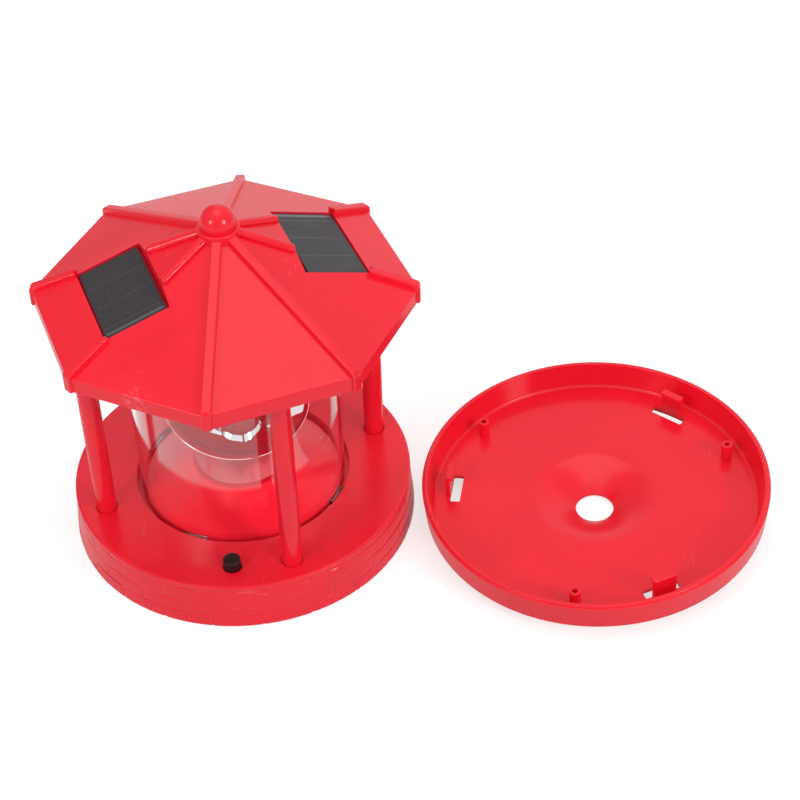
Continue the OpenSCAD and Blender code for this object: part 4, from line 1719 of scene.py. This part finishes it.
@dataclass
class MountingDish:
    """The round dish that lies beside the lantern, rim up."""

    radius: float = 75.3
    foot: float = 74.4
    height: float = 12.3
    lip: float = 72.7
    step_radius: float = 74.5
    step: float = 0.9
    floor_radius: float = 70.6
    floor: float = 0.6
    floor_thickness: float = 1.8
    hole: float = 8.27
    ring: float = 1.6
    funnel_radius: float = 28.0
    funnel_depth: float = 8.4
    flare: float = 1.5
    hub_wall: float = 1.0
    skirt: float = 68.0
    skirt_depth: float = 5.04
    skirt_wall: float = 2.0
    hook_turn: float = 50.0
    hook_radius: float = 65.0
    hook_width: float = 10.4
    hook_offset: float = 1.0
    hook_wall: float = 2.0
    hook_flange: float = 3.4
    hook_height: float = 11.5
    slot: float = 4.4
    slot_length: float = 16.0
    slot_offset: float = 1.4
    boss_turn: float = 17.0
    boss_circle: float = 63.0
    boss_radius: float = 2.4
    boss_hole: float = 1.25
    boss_height: float = 8.4
    place: Point2 = (153.87, -12.27)
    lean: float = 210.7

    def matrix(self) -> Matrix:
        """Where the dish lies, leaning from its funnel onto its skirt.

        Returns:
            The matrix of that place, in millimetres.
        """
        low = self.funnel_depth - self.skirt_depth
        tilt = math.atan(low / (self.skirt - self.hole - self.ring))
        lift = self.skirt_depth * math.cos(tilt) + self.skirt * math.sin(tilt)
        across = math.radians(self.lean)
        axis = Vector((-math.sin(across), math.cos(across), 0))
        return shifted(*self.place, lift) @ Matrix.Rotation(tilt, 4, axis)

    def outline(self) -> list[Point2]:
        """The dish's outline from the edge of its funnel round to its underside.

        Returns:
            Radius and height of each point.
        """
        steps = 12
        under = self.floor - self.floor_thickness
        run = self.funnel_radius - self.hole
        drop = self.floor + self.funnel_depth - self.hub_wall
        below = self.funnel_radius + 1 - self.hole - self.ring
        fall = under + self.funnel_depth
        points: list[Point2] = []
        for i in range(steps + 1):
            t = i / steps
            points.append((self.funnel_radius - run * t, self.floor - drop * t**self.flare))
        points.append((self.hole, -self.funnel_depth))
        for i in range(steps, -1, -1):
            t = i / steps
            points.append((self.funnel_radius + 1 - below * t, under - fall * t**self.flare))
        rim = self.height
        points += rounded(
            [
                (self.skirt - self.skirt_wall, under, 0),
                (self.skirt - self.skirt_wall, -self.skirt_depth, 0),
                (self.skirt, -self.skirt_depth, 0),
                (self.skirt, under, 0),
                (self.foot - 1.2, under, 0),
                (self.foot, -0.2, 1.2),
                (self.radius, rim - self.step, 0.35),
                (self.step_radius, rim - self.step, 0.15),
                (self.step_radius - 0.1, rim, 0.45),
                (self.lip, rim, 0.45),
                (self.floor_radius + 0.2, self.floor, 1.6),
                (self.funnel_radius + 3, self.floor, 0),
            ],
            4,
        )
        return points

    def hook(self, angle: float) -> Piece:
        """One hook with its inward flange.

        Args:
            angle: its direction in degrees.

        Returns:
            The hook.
        """
        root, top = self.floor - 0.6, self.hook_height
        wall = brick(
            "hook",
            (self.hook_wall, self.hook_width, top - root),
            (self.hook_radius - self.hook_wall / 2, self.hook_offset, (top + root) / 2),
            0.4,
        )
        flange = brick(
            "flange",
            (self.hook_flange, self.hook_width, self.hook_wall),
            (self.hook_radius - self.hook_flange / 2, self.hook_offset, top - self.hook_wall / 2),
            0.4,
        )
        worked(wall, flange, Carve.FUSE)
        return moved(wall, turned(angle))

    def build(self, finishes: Finishes) -> None:
        """Builds the dish with its hooks, slots and screw posts.

        Args:
            finishes: every material, by name.
        """
        dish = revolved("round_dish", self.outline(), 256)
        worked(dish, joined("hooks", around(3, self.hook_turn, lambda _, a: self.hook(a))), Carve.FUSE)
        bosses, cuts = [], []
        for i in range(3):
            x, y = on_circle(self.boss_turn + 120 * i, self.boss_circle)
            radius, top = self.boss_radius, self.boss_height
            outline = rounded([(0, 0, 0), (radius, 0, 0), (radius, top, 0.25), (0, top, 0)])
            bosses.append(moved(revolved("boss", outline, 48), shifted(x, y, 0)))
            cuts.append(rod("hole", self.boss_hole, -3, top + OVERRUN, x, y, 32))
            middle = self.hook_radius - self.hook_wall - self.slot / 2
            slot = brick(
                "slot",
                (self.slot, self.slot_length, self.skirt_depth + self.floor + 3),
                (middle, self.slot_offset, (self.floor - self.skirt_depth) / 2),
                0.7,
            )
            cuts.append(moved(slot, turned(self.hook_turn + 120 * i)))
        worked(dish, joined("bosses", bosses), Carve.FUSE)
        worked(dish, joined("cuts", cuts), Carve.CUT)
        moved(dish, self.matrix())
        smooth(dish, 30)
        finish_piece(dish, finishes.red, Body.DISH, Slot.RED, "mounting_dish")


# ---------------------------------------------------------------- the studio


@dataclass
class Studio:
    """The pale floor, the soft lamps and the camera."""

    focal_pixels: float = 1819.249
    image_pixels: float = 800.0
    sensor: float = 36.0
    pitch: float = 41.063
    roll: float = -1.588
    place: tuple[float, float, float] = (69.632, -585.108, 566.844)
    soft_sky: float = 0.72
    sky: float = 0.26
    backdrop: float = 0.45
    ceiling: float = 0.10
    table_shown: float = 0.65
    table_mirrored: float = 0.28
    table_glow: float = 0.04
    box_side: float = 0.32
    left_power: float = 3.5
    right_power: float = 5.2
    top_power: float = 2.8

    def camera(self) -> None:
        """Sets the camera as the photograph's was."""
        lens = bpy.data.cameras.new("camera")
        lens.sensor_fit = "HORIZONTAL"
        lens.sensor_width = self.sensor
        lens.lens = self.sensor * self.focal_pixels / self.image_pixels
        lens.clip_start, lens.clip_end = 0.01, 30.0
        pitch, roll = math.radians(self.pitch), math.radians(self.roll)
        ahead = Vector((0, math.cos(pitch), -math.sin(pitch)))
        right = Vector((1, 0, 0))
        up = right.cross(ahead)
        rolled = right * math.cos(roll) + up * math.sin(roll)
        upright = up * math.cos(roll) - right * math.sin(roll)
        holder = bpy.data.objects.new("camera", lens)
        axes = Matrix((rolled, upright, -ahead)).transposed().to_4x4()
        holder.matrix_world = Matrix.Translation(Vector(self.place) * MM) @ axes
        bpy.context.scene.collection.objects.link(holder)
        bpy.context.scene.camera = holder

    @staticmethod
    def lamp(
        name: str, place: Sequence[float], target: Sequence[float], side: float, power: float
    ) -> None:
        """A square soft box.

        Args:
            name: its name.
            place: where it hangs, in metres.
            target: what it points at, in metres.
            side: the length of its side in metres.
            power: its power in watts.
        """
        light = bpy.data.lights.new(name, "AREA")
        light.shape, light.size, light.energy = "SQUARE", side, power
        holder = bpy.data.objects.new(name, light)
        holder.location = place
        holder.rotation_euler = (Vector(target) - Vector(place)).to_track_quat("-Z", "Y").to_euler()
        bpy.context.scene.collection.objects.link(holder)

    def world(self) -> None:
        """Even light for matt faces, a dimmer room in mirrors, plain white for the camera."""
        world = bpy.data.worlds.new("surround")
        bpy.context.scene.world = world
        world.use_nodes = True
        wires = Wiring(world.node_tree)
        way = wires.add("ShaderNodeSeparateXYZ")
        wires.put(way.inputs[0], wires.add("ShaderNodeTexCoord").outputs["Generated"])
        side = wires.ramp(way.outputs["X"], -0.45, -0.12)
        behind = wires.ramp(way.outputs["Y"], 0.15, 0.5)
        lowered = wires.ramp(way.outputs["Z"], 0.5, 0.95, 1.0, 0.4)
        bright = wires.product(side, behind, lowered)
        room = wires.math("ADD", wires.product(bright, self.backdrop), self.sky)
        above = wires.product(wires.ramp(way.outputs["Z"], 0.5, 0.9), self.ceiling)
        mirrored = wires.math("SUBTRACT", wires.math("ADD", room, above), self.soft_sky)
        path = wires.add("ShaderNodeLightPath")
        extra = wires.product(path.outputs["Is Glossy Ray"], mirrored)
        level = wires.math("ADD", extra, self.soft_sky)
        seen = wires.math("MAXIMUM", path.outputs["Is Camera Ray"], path.outputs["Is Transmission Ray"])
        back = wires.add("ShaderNodeBackground")
        wires.put(back.inputs["Strength"], wires.math("MAXIMUM", level, seen))
        back.inputs["Color"].default_value = (1.0, 1.0, 1.0, 1.0)
        wires.put(wires.add("ShaderNodeOutputWorld").inputs["Surface"], back.outputs[0])

    def floor(self) -> None:
        """A white table that glows a little and keeps the soft shadow of the part."""
        mesh = bpy.data.meshes.new("floor")
        reach, level = 6.0, -0.0004
        corners = [(x * reach, y * reach, level) for x, y in ((-1, -1), (1, -1), (1, 1), (-1, 1))]
        mesh.from_pydata(corners, [], [(0, 1, 2, 3)])
        plane = new_object("floor", mesh)
        material, wires, shader, out = new_material("white floor")
        shader.inputs["Base Color"].default_value = (0.5, 0.5, 0.5, 1.0)
        shader.inputs["Roughness"].default_value = 0.9
        shader.inputs["Specular IOR Level"].default_value = 0.0
        path = wires.add("ShaderNodeLightPath")
        seen = wires.math("MAXIMUM", path.outputs["Is Camera Ray"], path.outputs["Is Transmission Ray"])
        shown = wires.product(seen, self.table_shown - self.table_glow)
        less = self.table_mirrored - self.table_glow
        mirrored = wires.product(path.outputs["Is Glossy Ray"], less)
        glow = wires.add("ShaderNodeEmission")
        extra = wires.math("ADD", shown, mirrored)
        wires.put(glow.inputs["Strength"], wires.math("ADD", extra, self.table_glow))
        both = wires.add("ShaderNodeAddShader")
        wires.put(both.inputs[0], shader.outputs[0])
        wires.put(both.inputs[1], glow.outputs[0])
        wires.put(out.inputs["Surface"], both.outputs[0])
        plane.data.materials.append(material)

    def build(self) -> None:
        """Sets the whole studio up."""
        bpy.context.scene.view_settings.view_transform = "Standard"
        self.world()
        self.floor()
        self.lamp("soft box left", (-0.80, -0.86, 0.75), (0.04, 0, 0.05), self.box_side, self.left_power)
        self.lamp("soft box right", (1.02, -0.86, 0.72), (0.06, 0, 0.05), self.box_side, self.right_power)
        self.lamp("top light", (0.08, 0.1, 1.5), (0.08, 0, 0), 1.0, self.top_power)
        self.camera()


def main() -> None:
    """Builds and dresses the part, then sets up the studio."""
    logging.basicConfig(level=logging.INFO, format="%(name)s: %(message)s")
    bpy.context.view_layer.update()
    finishes = Finishes.mix(SharedEffects())
    for assembly in (Roof(), Posts(), BrickBase(), LampHouse(), PushButton(), MountingDish()):
        log.info("building %s", type(assembly).__name__)
        assembly.build(finishes)
    Studio().build()


if __name__ == "__main__":
    main()
